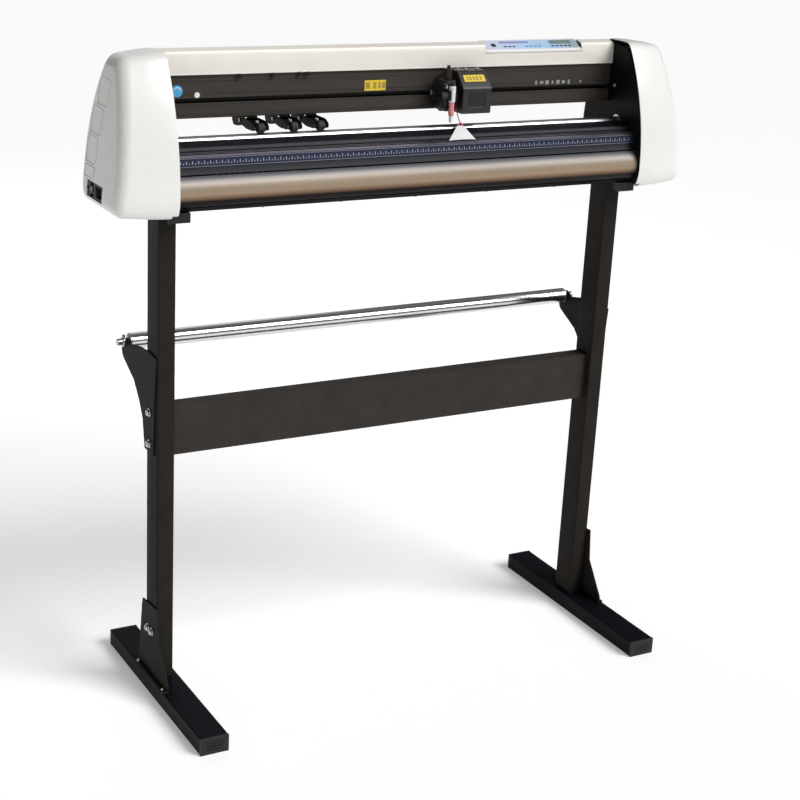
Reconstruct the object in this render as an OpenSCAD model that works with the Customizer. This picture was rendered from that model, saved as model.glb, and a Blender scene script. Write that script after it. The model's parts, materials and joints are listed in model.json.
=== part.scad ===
// Vinyl cutting plotter on a floor stand. X runs along the machine, +Y to its rear, +Z up.
// The floor is z = 0 and the origin lies midway between the feet.

/* [Overall] */
// Clear width between the side panels, the widest media that passes
media_w = 870; // [600:10:1350]
// Height of the stand, from the floor to the underside of the head's base plate
stand_h = 858; // [700:2:1000]
// Length of each foot, front to rear
foot_l = 428; // [360:2:600]
// Width of each end cover, measured outwards from its side panel
cover_w = 92; // [84:1:140]

/* [Stand] */
// Width of a foot tube
foot_w = 50; // [44:1:80]
// Height of a foot tube
foot_h = 30; // [20:1:60]
// How far the columns stand behind the middle of the feet
column_y = 33; // [0:1:60]
// Width of a column across the machine
column_w = 30; // [24:1:40]
// Depth of a column, front to rear
column_d = 50; // [40:1:80]
// Wall of the steel tubes
tube_wall = 2; // [1.2:0.1:3]
// Thickness of the moulded plug in each end of a foot
cap_t = 6; // [3:0.5:12]
// Thickness of the stand's sheet steel brackets
bracket_t = 3; // [2:0.5:5]
// Height of the cross panel
cross_h = 86; // [50:1:140]
// Depth of the cross panel's channel
cross_d = 32; // [20:1:46]
// Height of the cross panel's lower edge above the floor
cross_z = 434; // [200:2:540]
// Height of the foot gussets above the foot
gusset_h = 134; // [80:1:200]

/* [Media roller] */
// Outer radius of the roller tube
roller_r = 14; // [10:0.5:30]
// Wall of the roller tube
roller_wall = 1.5; // [1:0.1:3]
// Radius of the roller's axle stubs
axle_r = 6; // [4:0.5:9]
// How far the roller's axis stands behind the columns' middle
roller_y = 120; // [100:1:160]
// How far the roller's axis stands above the cross panel's lower edge
roller_rise = 163; // [140:1:200]

/* [Head] */
// Thickness of a side panel
side_t = 10; // [6:0.5:16]
// Wall of the moulded covers
cover_wall = 2.5; // [2:0.1:4]
// Height of the rail's underside above the base plate's underside
rail_z = 130; // [126:1:150]
// Height of the rail extrusion
rail_h = 70; // [60:1:90]
// Depth of the rail extrusion
rail_d = 38; // [34:1:40]
// Wall of the rail extrusion
rail_wall = 4; // [3:0.5:6]
// Height of the moulded hood above the rail
hood_h = 42; // [34:1:60]
// Thickness of the base plate
base_t = 3; // [2:0.5:5]
// Thickness of the platen extrusion
platen_t = 3; // [2:0.5:4]
// Length of the control panel along the hood
control_l = 199; // [160:1:260]

/* [Feed] */
// Radius of the grit shaft
shaft_r = 9; // [7:0.5:10]
// Radius of the grit shaft's journals
journal_r = 6; // [4:0.5:6.5]
// Height of the grit shaft's axis above the base plate's underside
shaft_z = 99; // [97:1:104]
// Radius of a pinch wheel
wheel_r = 8; // [6:0.5:8.5]
// Width of a pinch wheel
wheel_w = 12; // [8:1:16]
// Pitch radius of the toothed pulley on the grit shaft
feed_pulley_r = 24; // [16:1:30]
// Pitch radius of the toothed pulley on the feed motor
motor_pulley_r = 8; // [6:0.5:11]
// Side of the square stepper motors
motor_side = 56; // [42:1:57]

/* [Carriage] */
// Where the carriage stands along the rail, from the middle
carriage_x = 100; // [-60:5:250]
// Width of the carriage's moulded cover
box_w = 56; // [50:1:80]
// Height of the carriage's moulded cover
box_h = 69; // [60:1:72]
// Radius of the blade holder's grip
holder_r = 6; // [4:0.5:7]
// Pitch radius of the carriage belt's pulleys
belt_pulley_r = 8; // [6:0.5:9]

/* [Clearances] */
// Gap of sliding and free-running parts
slide_gap = 0.3; // [0.3:0.05:0.5]
// Radial gap of a shaft or pin in its bore
run_gap = 0.05; // [0.02:0.01:0.1]

/* [Hidden] */

$fn = 48;
eps = 0.01;
clear = 2;                                   // how far a cutter runs past the face it opens

// Places along X
inner_x = media_w / 2;                       // inner face of a side panel
panel_x = inner_x + side_t;                  // outer face of a side panel
column_x = panel_x - column_w / 2;           // middle of a column

// Outline of the head's ends, in Y and Z from the column line and the base plate
head_top = rail_z + rail_h + hood_h;
front_y = -91;
rear_y = 94;
belly_z = 25;                                // height where the front bulges furthest
shoulder_z = 80;                             // height where the rear starts to lean forward
front_r = 400;
rear_r = 255;
skirt = 7;                                   // how far the end covers hang below the base plate
panel_inset = 1.5;
lip_t = panel_inset - 0.2;                   // a cover's lip over the edge of its side panel
corner_r = 20;
cover_taper = 5;
cover_lean = 0.12;
lean_z = 20;
slice_t = 0.2;

// Rail and the slot that the carriage runs in
rail_y = 22;
rail_back = rail_y + rail_d;
rail_top = rail_z + rail_h;
slot_h = 8;
slot_z = rail_z + 28;                        // middle of the front slot, the belt's height
foot_slot_w = 7;                             // slot under the rail for the pinch brackets
web_z = rail_z + rail_wall + 7;              // web between the two channels of the rail
web_t = 3;
foot_slot_y = rail_y + rail_d / 2;

// Stand's brackets and bolts
plug_l = 14;                                 // shank of a foot cap
gusset_toe = 58;                             // a gusset's reach in front of the column
gusset_heel = 28;                            // and behind it
bracket_reach = 66;
bracket_spread = 22;
thumb_x = column_x - 8;                      // thumb screws that hold the head
thumb_y = 52;
thumb_r = 9;
thumb_h = 13;
stud_r = 4;
washer_r = 7;
washer_t = 1.2;
bolt_r = 5.8;
bolt_h = 4.2;

// Carriage belt
belt_t = 1.4;
belt_w = 6;
belt_y = foot_slot_y;                        // middle of the belt loop
pulley_x = panel_x + 32;                     // pulley axes outside the side panels
belt_in = belt_pulley_r + slide_gap;
belt_out = belt_in + belt_t;
shelf_drop = 12;                             // from the belt down to the motor's shelf
shelf_z = slot_z - belt_w / 2 - shelf_drop;
idler_pin_r = 3;

// Toothed pulleys
flange_t = 1.2;
flange_rise = 2;                             // a flange's edge above the pitch line
tooth_r = 0.7;
motor_shaft_r = 3.175;
boss_r = 11;                                 // round boss on a motor's face

// Platen and grit shaft
shaft_y = -8;
trough = 10;                                 // half width of the trough that the shaft lies in
ridge = [-62, 85.5];
lip = [-70, 60];
ruler_foot = [-65, 70.5];
platen_edge = [88, 72];
platen_line = [
    lip, ruler_foot, ridge, [-48, 91.5], [-34, 97],
    [shaft_y - trough, 102.5], [shaft_y - trough, 87.5], [shaft_y + trough, 87.5],
    [shaft_y + trough, 100], [40, 94], platen_edge
];
apron_c = [-52, 33.5];
apron_r = 31;
apron_t = 2;
film_t = 0.8;                                // the ruler, the cutting strip and the keypad film
base_front = -70;
base_lip = [10, 8];                          // the tray's front edge turns up
base_back = 84;

// Feed drive, outside the left side panel
pulley_gap = 8;
feed_w = 12;
feed_x = panel_x + pulley_gap;
motor_y = 48;
motor_z = 5 + motor_side / 2;
motor_l = 52;
bearing_r = journal_r + 7;

// Pinch assemblies
pinch_x = [-266, -207, -159];
pivot_y = foot_slot_y;
pivot_z = rail_z - 9;
pivot_r = 2.5;
axle_pin_r = 2;
wheel_z = shaft_z + shaft_r + wheel_r + run_gap;
fork_t = 3;
arm_w = wheel_w + 2 * (fork_t + slide_gap);
ear_t = 3;
ear_w = arm_w + 2 * (ear_t + slide_gap);
ear_reach = 9;
ear_drop = 3;                                // thickness of the plate that joins the ears
hanger_l = 14;                               // half length of the T head in the rail's slot

// Carriage, in X from its own middle
plate_y = 12;
plate_t = 3;
plate_l = -38;
plate_r = 50;
box_l = -9;
box_front = -40;
box_z = rail_z;
blade_x = -29;
blade_y = -37;
lift_back = -18;                             // front face of the lifting magnet's frame
lift_l = blade_x - 7;
lift_r = blade_x + 10;
rod_x = [blade_x - 3.5, blade_x + 6.5];      // rods that the clamp slides on
rod_line_y = -23;
rod_r = 1.5;
glide_l = -34;
glide_r = 44;
belt_clamp = 8;                              // half length of the belt's clamp
tip_z = 117;                                 // lower end of the raised blade holder
knob_r = 5.5;
knob_stem_r = 2;

// Media roller
roller_z = cross_z + roller_rise;
arm_inner = panel_x;
arm_outer = panel_x + bracket_t;
roller_end = panel_x - 5;                    // the tube stops short of the arms

// Control panel on the hood's front corner
control_x = [166, 166 + control_l];
control_low = [17, rail_top + 26];
control_high = [44, head_top - 1];
notch_y = rail_y + 28;                       // the hood's notch that the panel fills
notch_z = rail_top + 21;

// Power inlet in the left cover's side
inlet_y = 15;
inlet_z = 24;
inlet_w = 70;
inlet_h = 26;
inlet_x = panel_x + cover_w - 2.5;
inlet_deep = 28;
rocker_y = inlet_y + 14;
rocker_w = 16;
rocker_h = 21;
rocker_axis = 7;                             // how deep the rocker's pins lie behind the face
rocker_pin_r = 1.5;
socket_y = [inlet_y - 29, inlet_y - 4];
socket_h = 18;
socket_deep = 16;

// Transit tag and its string, from the carriage's middle
string_r = 0.8;
string_sides = 8;
string_path = [
    [-14, -18, 150], [-14, -19.5, 150], [-14, -21, 150], [-14, -22.5, 149.7], [-14, -23.8, 148.8],
    [-13.9, -24.7, 147.5], [-13.8, -25, 146], [-13.5, -25, 143.5], [-13, -25, 140.5], [-12.2, -25, 137],
    [-11.2, -25, 133.5], [-10, -24.8, 130], [-8.6, -24.5, 126.5], [-7, -24.1, 123], [-5.2, -23.6, 119.5],
    [-3.6, -23.1, 116.5], [-2.3, -22.7, 114], [-1.4, -22.4, 112], [-1, -22.2, 110.4]
];
tag_apex = [-1, -22, 109.5];
tag_t = 0.6;
tag_w = 52;
tag_l = 38;
tag_skew = -13;
tag_slope = 31.8;

// ---- helpers -------------------------------------------------------------

function unit(v) = v / norm(v);
function normal_of(p, i) = let (d = unit(p[i + 1] - p[i])) [-d.y, d.x];
function corner_normal(p, i) =
    i == 0 ? normal_of(p, 0)
    : i == len(p) - 1 ? normal_of(p, i - 1)
    : (normal_of(p, i - 1) + normal_of(p, i)) / (1 + normal_of(p, i - 1) * normal_of(p, i));

// A sheet's outline: the line of points on one face, and the same line t away on the other
function sheet(p, t) = concat(p, [for (i = [len(p) - 1:-1:0]) p[i] + t * corner_normal(p, i)]);

function arc(c, r, a0, a1, n) = [
    for (i = [0:n]) let (a = a0 + (a1 - a0) * i / n) [c.x + r * cos(a), c.y + r * sin(a)]
];

// The head's end outline, clockwise from its lowest front point
function head_outline() = concat(
    arc([front_y + 52, belly_z], 52, 180 + asin((belly_z + skirt) / 52), 180, 5),
    arc([front_y + front_r, belly_z], front_r, 179, 180 - asin((head_top - belly_z) / front_r), 12),
    arc([rear_y - rear_r, shoulder_z], rear_r, asin((head_top - shoulder_z) / rear_r), 0, 12),
    [[rear_y - 2, belly_z], [rear_y - 14, -skirt]]
);

module at_column_line() {
    translate([0, column_y, 0]) children();
}

module in_head() {
    translate([0, column_y, stand_h]) children();
}

// Stands a flat (Y, Z) outline up and stretches it along X
module along_x(x0, x1) {
    translate([x0, 0, 0]) rotate([90, 0, 90]) linear_extrude(x1 - x0) children();
}

module rod_x(x0, x1, y, z, r) {
    translate([x0, y, z]) rotate([0, 90, 0]) cylinder(h = x1 - x0, r = r);
}

module rod_y(y0, y1, x, z, r) {
    translate([x, y0, z]) rotate([-90, 0, 0]) cylinder(h = y1 - y0, r = r);
}

module rod_z(z0, z1, x, y, r) {
    translate([x, y, z0]) cylinder(h = z1 - z0, r = r);
}

module block(low, high) {
    translate(low) cube(high - low);
}

module both_sides() {
    children();
    mirror([1, 0, 0]) children();
}

// ---- stand ---------------------------------------------------------------

module foot_tube() {
    at_column_line() difference() {
        block([column_x - foot_w / 2, -column_y - foot_l / 2 + cap_t, 0],
              [column_x + foot_w / 2, -column_y + foot_l / 2 - cap_t, foot_h]);
        block([column_x - foot_w / 2 + tube_wall, -column_y - foot_l / 2 - clear, tube_wall],
              [column_x + foot_w / 2 - tube_wall, -column_y + foot_l / 2 + clear, foot_h - tube_wall]);
    }
}

module left_foot() {
    color("#1b1a1a") mirror([1, 0, 0]) foot_tube();
}

module right_foot() {
    color("#1b1a1a") foot_tube();
}

// A plug: a cap the size of the tube and a shank that fits inside it
module foot_cap() {
    union() {
        block([column_x - foot_w / 2, -foot_l / 2, 0],
              [column_x + foot_w / 2, -foot_l / 2 + cap_t, foot_h]);
        block([column_x - foot_w / 2 + tube_wall + run_gap, -foot_l / 2 + cap_t - eps, tube_wall + run_gap],
              [column_x + foot_w / 2 - tube_wall - run_gap, -foot_l / 2 + cap_t + plug_l,
               foot_h - tube_wall - run_gap]);
    }
}

module foot_caps() {
    color("#141414") both_sides() {
        foot_cap();
        mirror([0, 1, 0]) foot_cap();
    }
}

module column_tube() {
    at_column_line() difference() {
        block([column_x - column_w / 2, -column_d / 2, foot_h],
              [column_x + column_w / 2, column_d / 2, stand_h - bracket_t]);
        block([column_x - column_w / 2 + tube_wall, -column_d / 2 + tube_wall, foot_h - clear],
              [column_x + column_w / 2 - tube_wall, column_d / 2 - tube_wall, stand_h + clear]);
    }
}

module left_column() {
    color("#2a2624") mirror([1, 0, 0]) column_tube();
}

module right_column() {
    color("#2a2624") column_tube();
}

// A flared plate against the column's outer face, with a flange on the foot
module gusset() {
    edge = column_d / 2;
    top = foot_h + gusset_h;
    hem = foot_h + 12;
    along_x(panel_x, panel_x + bracket_t) polygon([
        [-edge - 8, top], [edge + 10, top - 6], [edge + 14, top - 20],
        [edge + gusset_heel, hem], [edge + gusset_heel, foot_h],
        [-edge - gusset_toe, foot_h], [-edge - gusset_toe, hem],
        [-edge - 14, foot_h + gusset_h * 0.55]
    ]);
}

module foot_gussets() {
    flange = foot_w / 2 - column_w / 2;
    color("#201e1d") at_column_line() both_sides() union() {
        gusset();
        block([panel_x, -column_d / 2 - gusset_toe, foot_h],
              [panel_x + flange, column_d / 2 + gusset_heel, foot_h + bracket_t]);
    }
}

module cross_panel() {
    face = -11;
    color("#2a2624") at_column_line() difference() {
        block([-column_x + column_w / 2, face, cross_z],
              [column_x - column_w / 2, face + cross_d, cross_z + cross_h]);
        block([-column_x + column_w / 2 + tube_wall, face + tube_wall, cross_z + tube_wall],
              [column_x - column_w / 2 - tube_wall, face + cross_d + clear, cross_z + cross_h - tube_wall]);
    }
}

// The arm's outline: a hooked seat for the axle at the rear, sweeping down the column
module roll_arm() {
    tip = roller_y + 17;
    at_column_line() difference() {
        along_x(arm_inner, arm_outer) polygon(concat(
            [[-column_d / 2 + 2, roller_z + 12], [12, roller_z + 15], [52, roller_z + 12],
             [roller_y - 24, roller_z + 3], [roller_y - 14, roller_z + 9], [roller_y + 12, roller_z + 9],
             [tip, roller_z - 2]],
            arc([roller_y - 4, roller_z - 14], 20, 5, -70, 4),
            [[roller_y - 42, roller_z - 55], [roller_y - 68, roller_z - 84],
             [column_d / 2 + 12, roller_z - 110]],
            [[column_d / 2 + 3, cross_z + 4], [-column_d / 2 + 12, cross_z + 4],
             [-column_d / 2 + 8, roller_z - 60]]
        ));
        block([arm_inner - clear, roller_y - axle_r - run_gap, roller_z],
              [arm_outer + clear, roller_y + axle_r + run_gap, roller_z + 30]);
        rod_x(arm_inner - clear, arm_outer + clear, roller_y, roller_z, axle_r + run_gap);
    }
}

module roll_arms() {
    color("#23201f") both_sides() roll_arm();
}

module media_roller() {
    color("#c9cacc") at_column_line() difference() {
        rod_x(-roller_end, roller_end, roller_y, roller_z, roller_r);
        rod_x(-roller_end - clear, roller_end + clear, roller_y, roller_z, roller_r - roller_wall);
    }
}

// A plug pressed into each end of the roller tube, with its axle stub
module roller_plug() {
    depth = 18;
    rim_t = 1.5;
    stub_l = 14;
    collar_x = arm_outer + 1.5;
    collar_w = 3;
    at_column_line() union() {
        rod_x(roller_end - depth, roller_end, roller_y, roller_z, roller_r - roller_wall);
        rod_x(roller_end, roller_end + rim_t, roller_y, roller_z, roller_r);
        rod_x(roller_end, arm_outer + stub_l, roller_y, roller_z, axle_r);
        rod_x(collar_x, collar_x + collar_w, roller_y, roller_z, axle_r + 3);
    }
}

module roller_plugs() {
    color("#8f9092") both_sides() roller_plug();
}

// The stand's top brackets: a plate on each column that the head sits on
module head_bracket() {
    lip_h = 16;
    plug_h = 40;
    hole_r = stud_r + 0.2;
    inside = tube_wall + run_gap;
    at_column_line() union() {
        difference() {
            block([column_x - bracket_spread, -bracket_reach, stand_h - bracket_t],
                  [panel_x, bracket_reach, stand_h]);
            for (y = [-thumb_y, thumb_y]) {
                rod_z(stand_h - bracket_t - clear, stand_h + clear, thumb_x, y, hole_r);
            }
        }
        for (y = [-bracket_reach, bracket_reach - bracket_t]) {
            block([column_x - bracket_spread, y, stand_h - lip_h],
                  [panel_x, y + bracket_t, stand_h - eps]);
        }
        block([column_x - column_w / 2 + inside, -column_d / 2 + inside, stand_h - bracket_t - plug_h],
              [column_x + column_w / 2 - inside, column_d / 2 - inside, stand_h - bracket_t + eps]);
    }
}

module head_brackets() {
    color("#1d1b1b") both_sides() head_bracket();
}

// Thumb screws that hold the head on its brackets
module head_knobs() {
    low = stand_h - bracket_t - thumb_h;
    flute_r = 2;
    flute_line = thumb_r + 1.2;
    color("#161616") at_column_line() both_sides() for (y = [-thumb_y, thumb_y]) {
        difference() {
            union() {
                rod_z(low, low + thumb_h, thumb_x, y, thumb_r);
                rod_z(low + thumb_h, stand_h + base_t + 1.5, thumb_x, y, stud_r - run_gap);
            }
            for (a = [0:45:315]) {
                translate([thumb_x, y, low - clear]) rotate([0, 0, a])
                    translate([flute_line, 0, 0]) cylinder(h = thumb_h + clear, r = flute_r, $fn = 16);
            }
        }
    }
}

// A hexagon bolt head with its washer, lying on a face that looks along +X
module bolt_head_x(x, y, z) {
    rod_x(x, x + washer_t, y, z, washer_r);
    translate([x + washer_t, y, z]) rotate([0, 90, 0]) cylinder(h = bolt_h, r = bolt_r, $fn = 6);
}

module stand_bolts() {
    flange_x = panel_x + bracket_t + 3.6;
    flange_z = foot_h + bracket_t;
    screw_h = 2.5;
    screw_r = 3;
    color("#b9bbbe") at_column_line() both_sides() {
        for (z = [cross_z + 19, cross_z + cross_h - 12]) {
            bolt_head_x(arm_outer, 6, z);
        }
        for (y = [-9, 9]) {
            bolt_head_x(arm_outer, y, foot_h + gusset_h * 0.62);
        }
        for (y = [-column_d / 2 - gusset_toe + 12, column_d / 2 + gusset_heel - 10]) {
            rod_z(flange_z, flange_z + screw_h, flange_x, y, screw_r);
        }
    }
}

// ---- head: structure and covers --------------------------------------------

module side_panel() {
    belt_window = 3;
    motor_window_r = 12;
    cable_low = [-30, 8];
    cable_high = [5, 30];
    in_head() difference() {
        along_x(inner_x, panel_x) offset(delta = -panel_inset) polygon(head_outline());
        rod_x(inner_x - clear, panel_x + clear, shaft_y, shaft_z, bearing_r + run_gap);
        block([inner_x - clear, belt_y - belt_out - belt_window, slot_z - belt_w / 2 - belt_window],
              [panel_x + clear, belt_y + belt_out + belt_window, slot_z + belt_w / 2 + belt_window]);
        rod_x(inner_x - clear, panel_x + clear, motor_y, motor_z, motor_window_r);
        block([inner_x - clear, cable_low.x, cable_low.y], [panel_x + clear, cable_high.x, cable_high.y]);
        block([inner_x - clear, front_y - clear, -skirt - clear], [panel_x + clear, rear_y, 0]);
    }
}

module left_side_panel() {
    color("#131313") mirror([1, 0, 0]) side_panel();
}

module right_side_panel() {
    color("#131313") side_panel();
}

// One slice of an end cover, leaning inwards with height
module cover_slice(x, inset, leans) {
    lean = leans ? cover_lean : 0;
    multmatrix([[1, 0, -lean, lean * lean_z], [0, 1, 0, 0], [0, 0, 1, 0]])
        along_x(x, x + slice_t) offset(delta = -inset) polygon(head_outline());
}

module cover_body(wall) {
    hull() {
        cover_slice(panel_x, wall, false);
        for (a = [0:15:90]) {
            cover_slice(panel_x + cover_w - slice_t - corner_r + (corner_r - wall) * sin(a),
                        cover_taper + corner_r - (corner_r - wall) * cos(a), true);
        }
    }
}

// The lip that wraps the side panel's edge, open where the panel stands on its bracket
module cover_lip() {
    difference() {
        along_x(inner_x + slide_gap, panel_x + eps) difference() {
            polygon(head_outline());
            offset(delta = -lip_t) polygon(head_outline());
        }
        block([inner_x - clear, front_y - clear, -skirt - clear], [panel_x + 2 * eps, rear_y + clear, 0]);
    }
}

module end_cover() {
    in_head() union() {
        difference() {
            cover_body(0);
            translate([-0.5, 0, 0]) cover_body(cover_wall);
        }
        cover_lip();
    }
}

module left_cover() {
    half_w = inlet_w / 2 + run_gap;
    half_h = inlet_h / 2 + run_gap;
    outside = -panel_x - cover_w;
    color("#e9e4dc") difference() {
        mirror([1, 0, 0]) end_cover();
        in_head() block([outside - 5, inlet_y - half_w, inlet_z - half_h],
                        [outside + 25, inlet_y + half_w, inlet_z + half_h]);
    }
}

module right_cover() {
    color("#e9e4dc") end_cover();
}

// The hood over the rail, cut away at the front corner for the control panel
module hood() {
    line = [
        [rail_y - 4, rail_top - 1], [rail_y - 4, head_top - 11], [rail_y - 1, head_top - 6],
        [rail_y + 12, head_top - 2], [rail_y + 18, head_top - 3], [rail_y + 30, head_top - 24],
        [rail_back + 3, rail_top + 1], [rail_back + 4, rail_top - 12]
    ];
    color("#ece5da") in_head() difference() {
        along_x(-inner_x, inner_x) polygon(sheet(line, -cover_wall));
        block([control_x[0] - run_gap, rail_y - 8, notch_z],
              [control_x[1] + run_gap, notch_y, head_top + 1]);
    }
}

module control_panel() {
    color("#e4e1dc") in_head() along_x(control_x[0], control_x[1]) polygon([
        [rail_y - 4, notch_z + run_gap], control_low, control_high, [notch_y, head_top - 10],
        [notch_y, notch_z + run_gap]
    ]);
}

module keypad_overlay() {
    rim = 4;
    slope = unit(control_high - control_low);
    low = control_low + slope * rim;
    high = control_high - slope * rim;
    color("#a9cbe8") in_head() along_x(control_x[0] + rim, control_x[1] - rim)
        polygon(sheet([low, high], film_t));
}

module rail() {
    color("#2b2522") in_head() difference() {
        block([-inner_x, rail_y, rail_z], [inner_x, rail_back, rail_top]);
        block([-inner_x - clear, rail_y + rail_wall, web_z + web_t],
              [inner_x + clear, rail_back - rail_wall, rail_top - rail_wall]);
        block([-inner_x - clear, rail_y + rail_wall, rail_z + rail_wall],
              [inner_x + clear, rail_back - rail_wall, web_z]);
        block([-inner_x - clear, rail_y - clear, slot_z - slot_h / 2],
              [inner_x + clear, rail_y + rail_wall + clear, slot_z + slot_h / 2]);
        block([-inner_x - clear, foot_slot_y - foot_slot_w / 2, rail_z - clear],
              [inner_x + clear, foot_slot_y + foot_slot_w / 2, rail_z + rail_wall + clear]);
    }
}

module platen() {
    color("#17171a") in_head() along_x(-inner_x, inner_x) polygon(sheet(platen_line, -platen_t));
}

module ruler_strip() {
    color("#232a4a") in_head() along_x(-inner_x, inner_x)
        polygon(sheet([for (f = [0.02, 0.98]) ruler_foot + f * (ridge - ruler_foot)], film_t));
}

module cutting_strip() {
    from = platen_line[3];
    to = platen_line[4];
    color("#3a3b3f") in_head() along_x(-inner_x, inner_x)
        polygon(sheet([for (f = [0.12, 0.7]) from + f * (to - from)], film_t));
}

module apron() {
    upper = 127;
    lower = 230;
    color("#8d8377") in_head() along_x(-inner_x, inner_x) polygon(concat(
        arc(apron_c, apron_r, upper, lower, 16),
        arc(apron_c, apron_r - apron_t, lower, upper, 16)
    ));
}

// The tray under the head: its floor and its rear wall
module base_tray() {
    color("#1a1a1a") in_head() difference() {
        along_x(-inner_x, inner_x) polygon(sheet([
            [base_front, base_lip.y], [base_front + base_lip.x, 0], [base_back, 0],
            [rear_y - 4, 12], [rear_y - 4, platen_edge.y - 3.4]
        ], base_t));
        both_sides() for (y = [-thumb_y, thumb_y]) {
            rod_z(-clear, base_t + clear, thumb_x, y, stud_r);
        }
    }
}

// ---- electrics --------------------------------------------------------------

// A moulded block with a socket for a mains lead, a fuse drawer and a window for the switch
module power_inlet() {
    rocker_deep = 14;
    half_w = rocker_w / 2;
    half_h = rocker_h / 2;
    pin_r = 1.6;
    color("#0f0f10") in_head() difference() {
        block([-inlet_x, inlet_y - inlet_w / 2, inlet_z - inlet_h / 2],
              [-inlet_x + inlet_deep, inlet_y + inlet_w / 2, inlet_z + inlet_h / 2]);
        block([-inlet_x - clear, socket_y[0], inlet_z - socket_h / 2],
              [-inlet_x + socket_deep, socket_y[1], inlet_z + socket_h / 2]);
        block([-inlet_x - clear, rocker_y - half_w - slide_gap, inlet_z - half_h - slide_gap],
              [-inlet_x + rocker_deep, rocker_y + half_w + slide_gap, inlet_z + half_h + slide_gap]);
        rod_y(rocker_y - half_w - 3, rocker_y + half_w + 3,
              -inlet_x + rocker_axis, inlet_z, rocker_pin_r + run_gap);
    }
    color("#c8c8ca") in_head() for (p = [[-22, -2], [-16.5, 2.5], [-11, -2]]) {
        rod_x(-inlet_x + 4, -inlet_x + socket_deep, inlet_y + p.x, inlet_z + p.y, pin_r);
    }
}

// The rocker turns on its own two pins
module power_switch() {
    half_w = rocker_w / 2;
    half_h = rocker_h / 2 - 0.6;
    pin_l = 2.4;
    color("#151515") in_head() union() {
        intersection() {
            block([-inlet_x - 1.4, rocker_y - half_w, inlet_z - half_h],
                  [-inlet_x + 10, rocker_y + half_w, inlet_z + half_h]);
            rod_y(rocker_y - half_w, rocker_y + half_w, -inlet_x + rocker_axis, inlet_z, half_h);
        }
        rod_y(rocker_y - half_w - pin_l, rocker_y + half_w + pin_l,
              -inlet_x + rocker_axis, inlet_z, rocker_pin_r);
    }
}

module power_supply() {
    start_x = -inner_x + 80;
    size = [160, 98, 42];
    low = [start_x, -40, base_t];
    color("#9fa2a4") in_head() block(low, low + size);
}

// The control board on its four posts
module mainboard() {
    post_h = 8;
    post_r = 3;
    edge = 8;
    low = [inner_x - 220, -44, base_t + post_h];
    high = [inner_x - 60, 60, low.z + 1.6];
    color("#1f5a36") in_head() union() {
        block(low, high);
        for (x = [low.x + edge, high.x - edge], y = [low.y + edge, high.y - edge]) {
            rod_z(base_t, low.z + eps, x, y, post_r);
        }
        block([high.x - 110, -20, high.z - eps], [high.x - 80, 10, base_t + 13]);
        block([high.x - 50, -30, high.z - eps], [high.x - 20, 40, base_t + 24]);
    }
}

// ---- feed ---------------------------------------------------------------------

module grit_shaft() {
    journal_end = feed_x + feed_w + 3;
    shoulder = inner_x - 1;
    color("#c4c6c9") in_head() union() {
        rod_x(-shoulder, shoulder, shaft_y, shaft_z, shaft_r);
        rod_x(-journal_end, -shoulder + eps, shaft_y, shaft_z, journal_r);
        rod_x(shoulder - eps, panel_x + 4, shaft_y, shaft_z, journal_r);
    }
}

module shaft_bearings() {
    color("#8a8c8f") in_head() both_sides() difference() {
        rod_x(inner_x, panel_x, shaft_y, shaft_z, bearing_r);
        rod_x(inner_x - clear, panel_x + clear, shaft_y, shaft_z, journal_r + run_gap);
    }
}

// A toothed belt pulley about X, with a flange on each side
module pulley_x_axis(x0, w, y, z, r, bore) {
    teeth = round(r * 2);
    difference() {
        union() {
            rod_x(x0, x0 + flange_t, y, z, r + flange_rise);
            rod_x(x0 + w - flange_t, x0 + w, y, z, r + flange_rise);
            rod_x(x0, x0 + w, y, z, r);
        }
        rod_x(x0 - clear, x0 + w + clear, y, z, bore);
        for (i = [0:teeth - 1]) {
            translate([x0 + flange_t, y, z]) rotate([360 * i / teeth, 0, 0])
                translate([0, 0, r - 0.1]) rotate([0, 90, 0])
                    cylinder(h = w - 2 * flange_t, r = tooth_r, $fn = 8);
        }
    }
}

module feed_pulley() {
    color("#a7a9ac") in_head()
        pulley_x_axis(-feed_x - feed_w, feed_w, shaft_y, shaft_z, feed_pulley_r, journal_r);
}

module feed_motor_pulley() {
    color("#a7a9ac") in_head()
        pulley_x_axis(-feed_x - feed_w, feed_w, motor_y, motor_z, motor_pulley_r, motor_shaft_r + run_gap);
}

module stepper(face_l) {
    bore_line = motor_side * 0.68;
    bore_r = 5;
    face_t = 5;
    union() {
        difference() {
            block([-motor_side / 2, -motor_side / 2, -motor_l], [motor_side / 2, motor_side / 2, 0]);
            for (a = [45:90:315]) {
                rotate([0, 0, a]) translate([bore_line, 0, -motor_l - clear])
                    cylinder(h = motor_l + clear - face_t, r = bore_r);
            }
        }
        cylinder(h = 1.6, r = boss_r);
        cylinder(h = face_l, r = motor_shaft_r);
    }
}

module feed_motor() {
    color("#2c2c2e") in_head() translate([-inner_x, motor_y, motor_z]) rotate([0, -90, 0])
        stepper(side_t + pulley_gap + feed_w + 2);
}

// The line that a belt follows round two pulleys: an arc on each, joined by their tangents
function belt_line(p0, p1, r0, r1) = let (
    d = p1 - p0,
    tilt = acos((r0 - r1) / norm(d)),
    head = atan2(d.y, d.x)
) concat(arc(p0, r0, head + tilt, head + 360 - tilt, 32), arc(p1, r1, head - tilt, head + tilt, 20));

module belt_loop(p0, p1, r0, r1, t) {
    difference() {
        polygon(belt_line(p0, p1, r0 + t, r1 + t));
        polygon(belt_line(p0, p1, r0, r1));
    }
}

module feed_belt() {
    color("#1c1c1c") in_head() along_x(-feed_x - feed_w + 2, -feed_x - 2)
        belt_loop([shaft_y, shaft_z], [motor_y, motor_z],
                  feed_pulley_r + slide_gap, motor_pulley_r + slide_gap, belt_t);
}

// ---- carriage drive -------------------------------------------------------------

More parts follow.
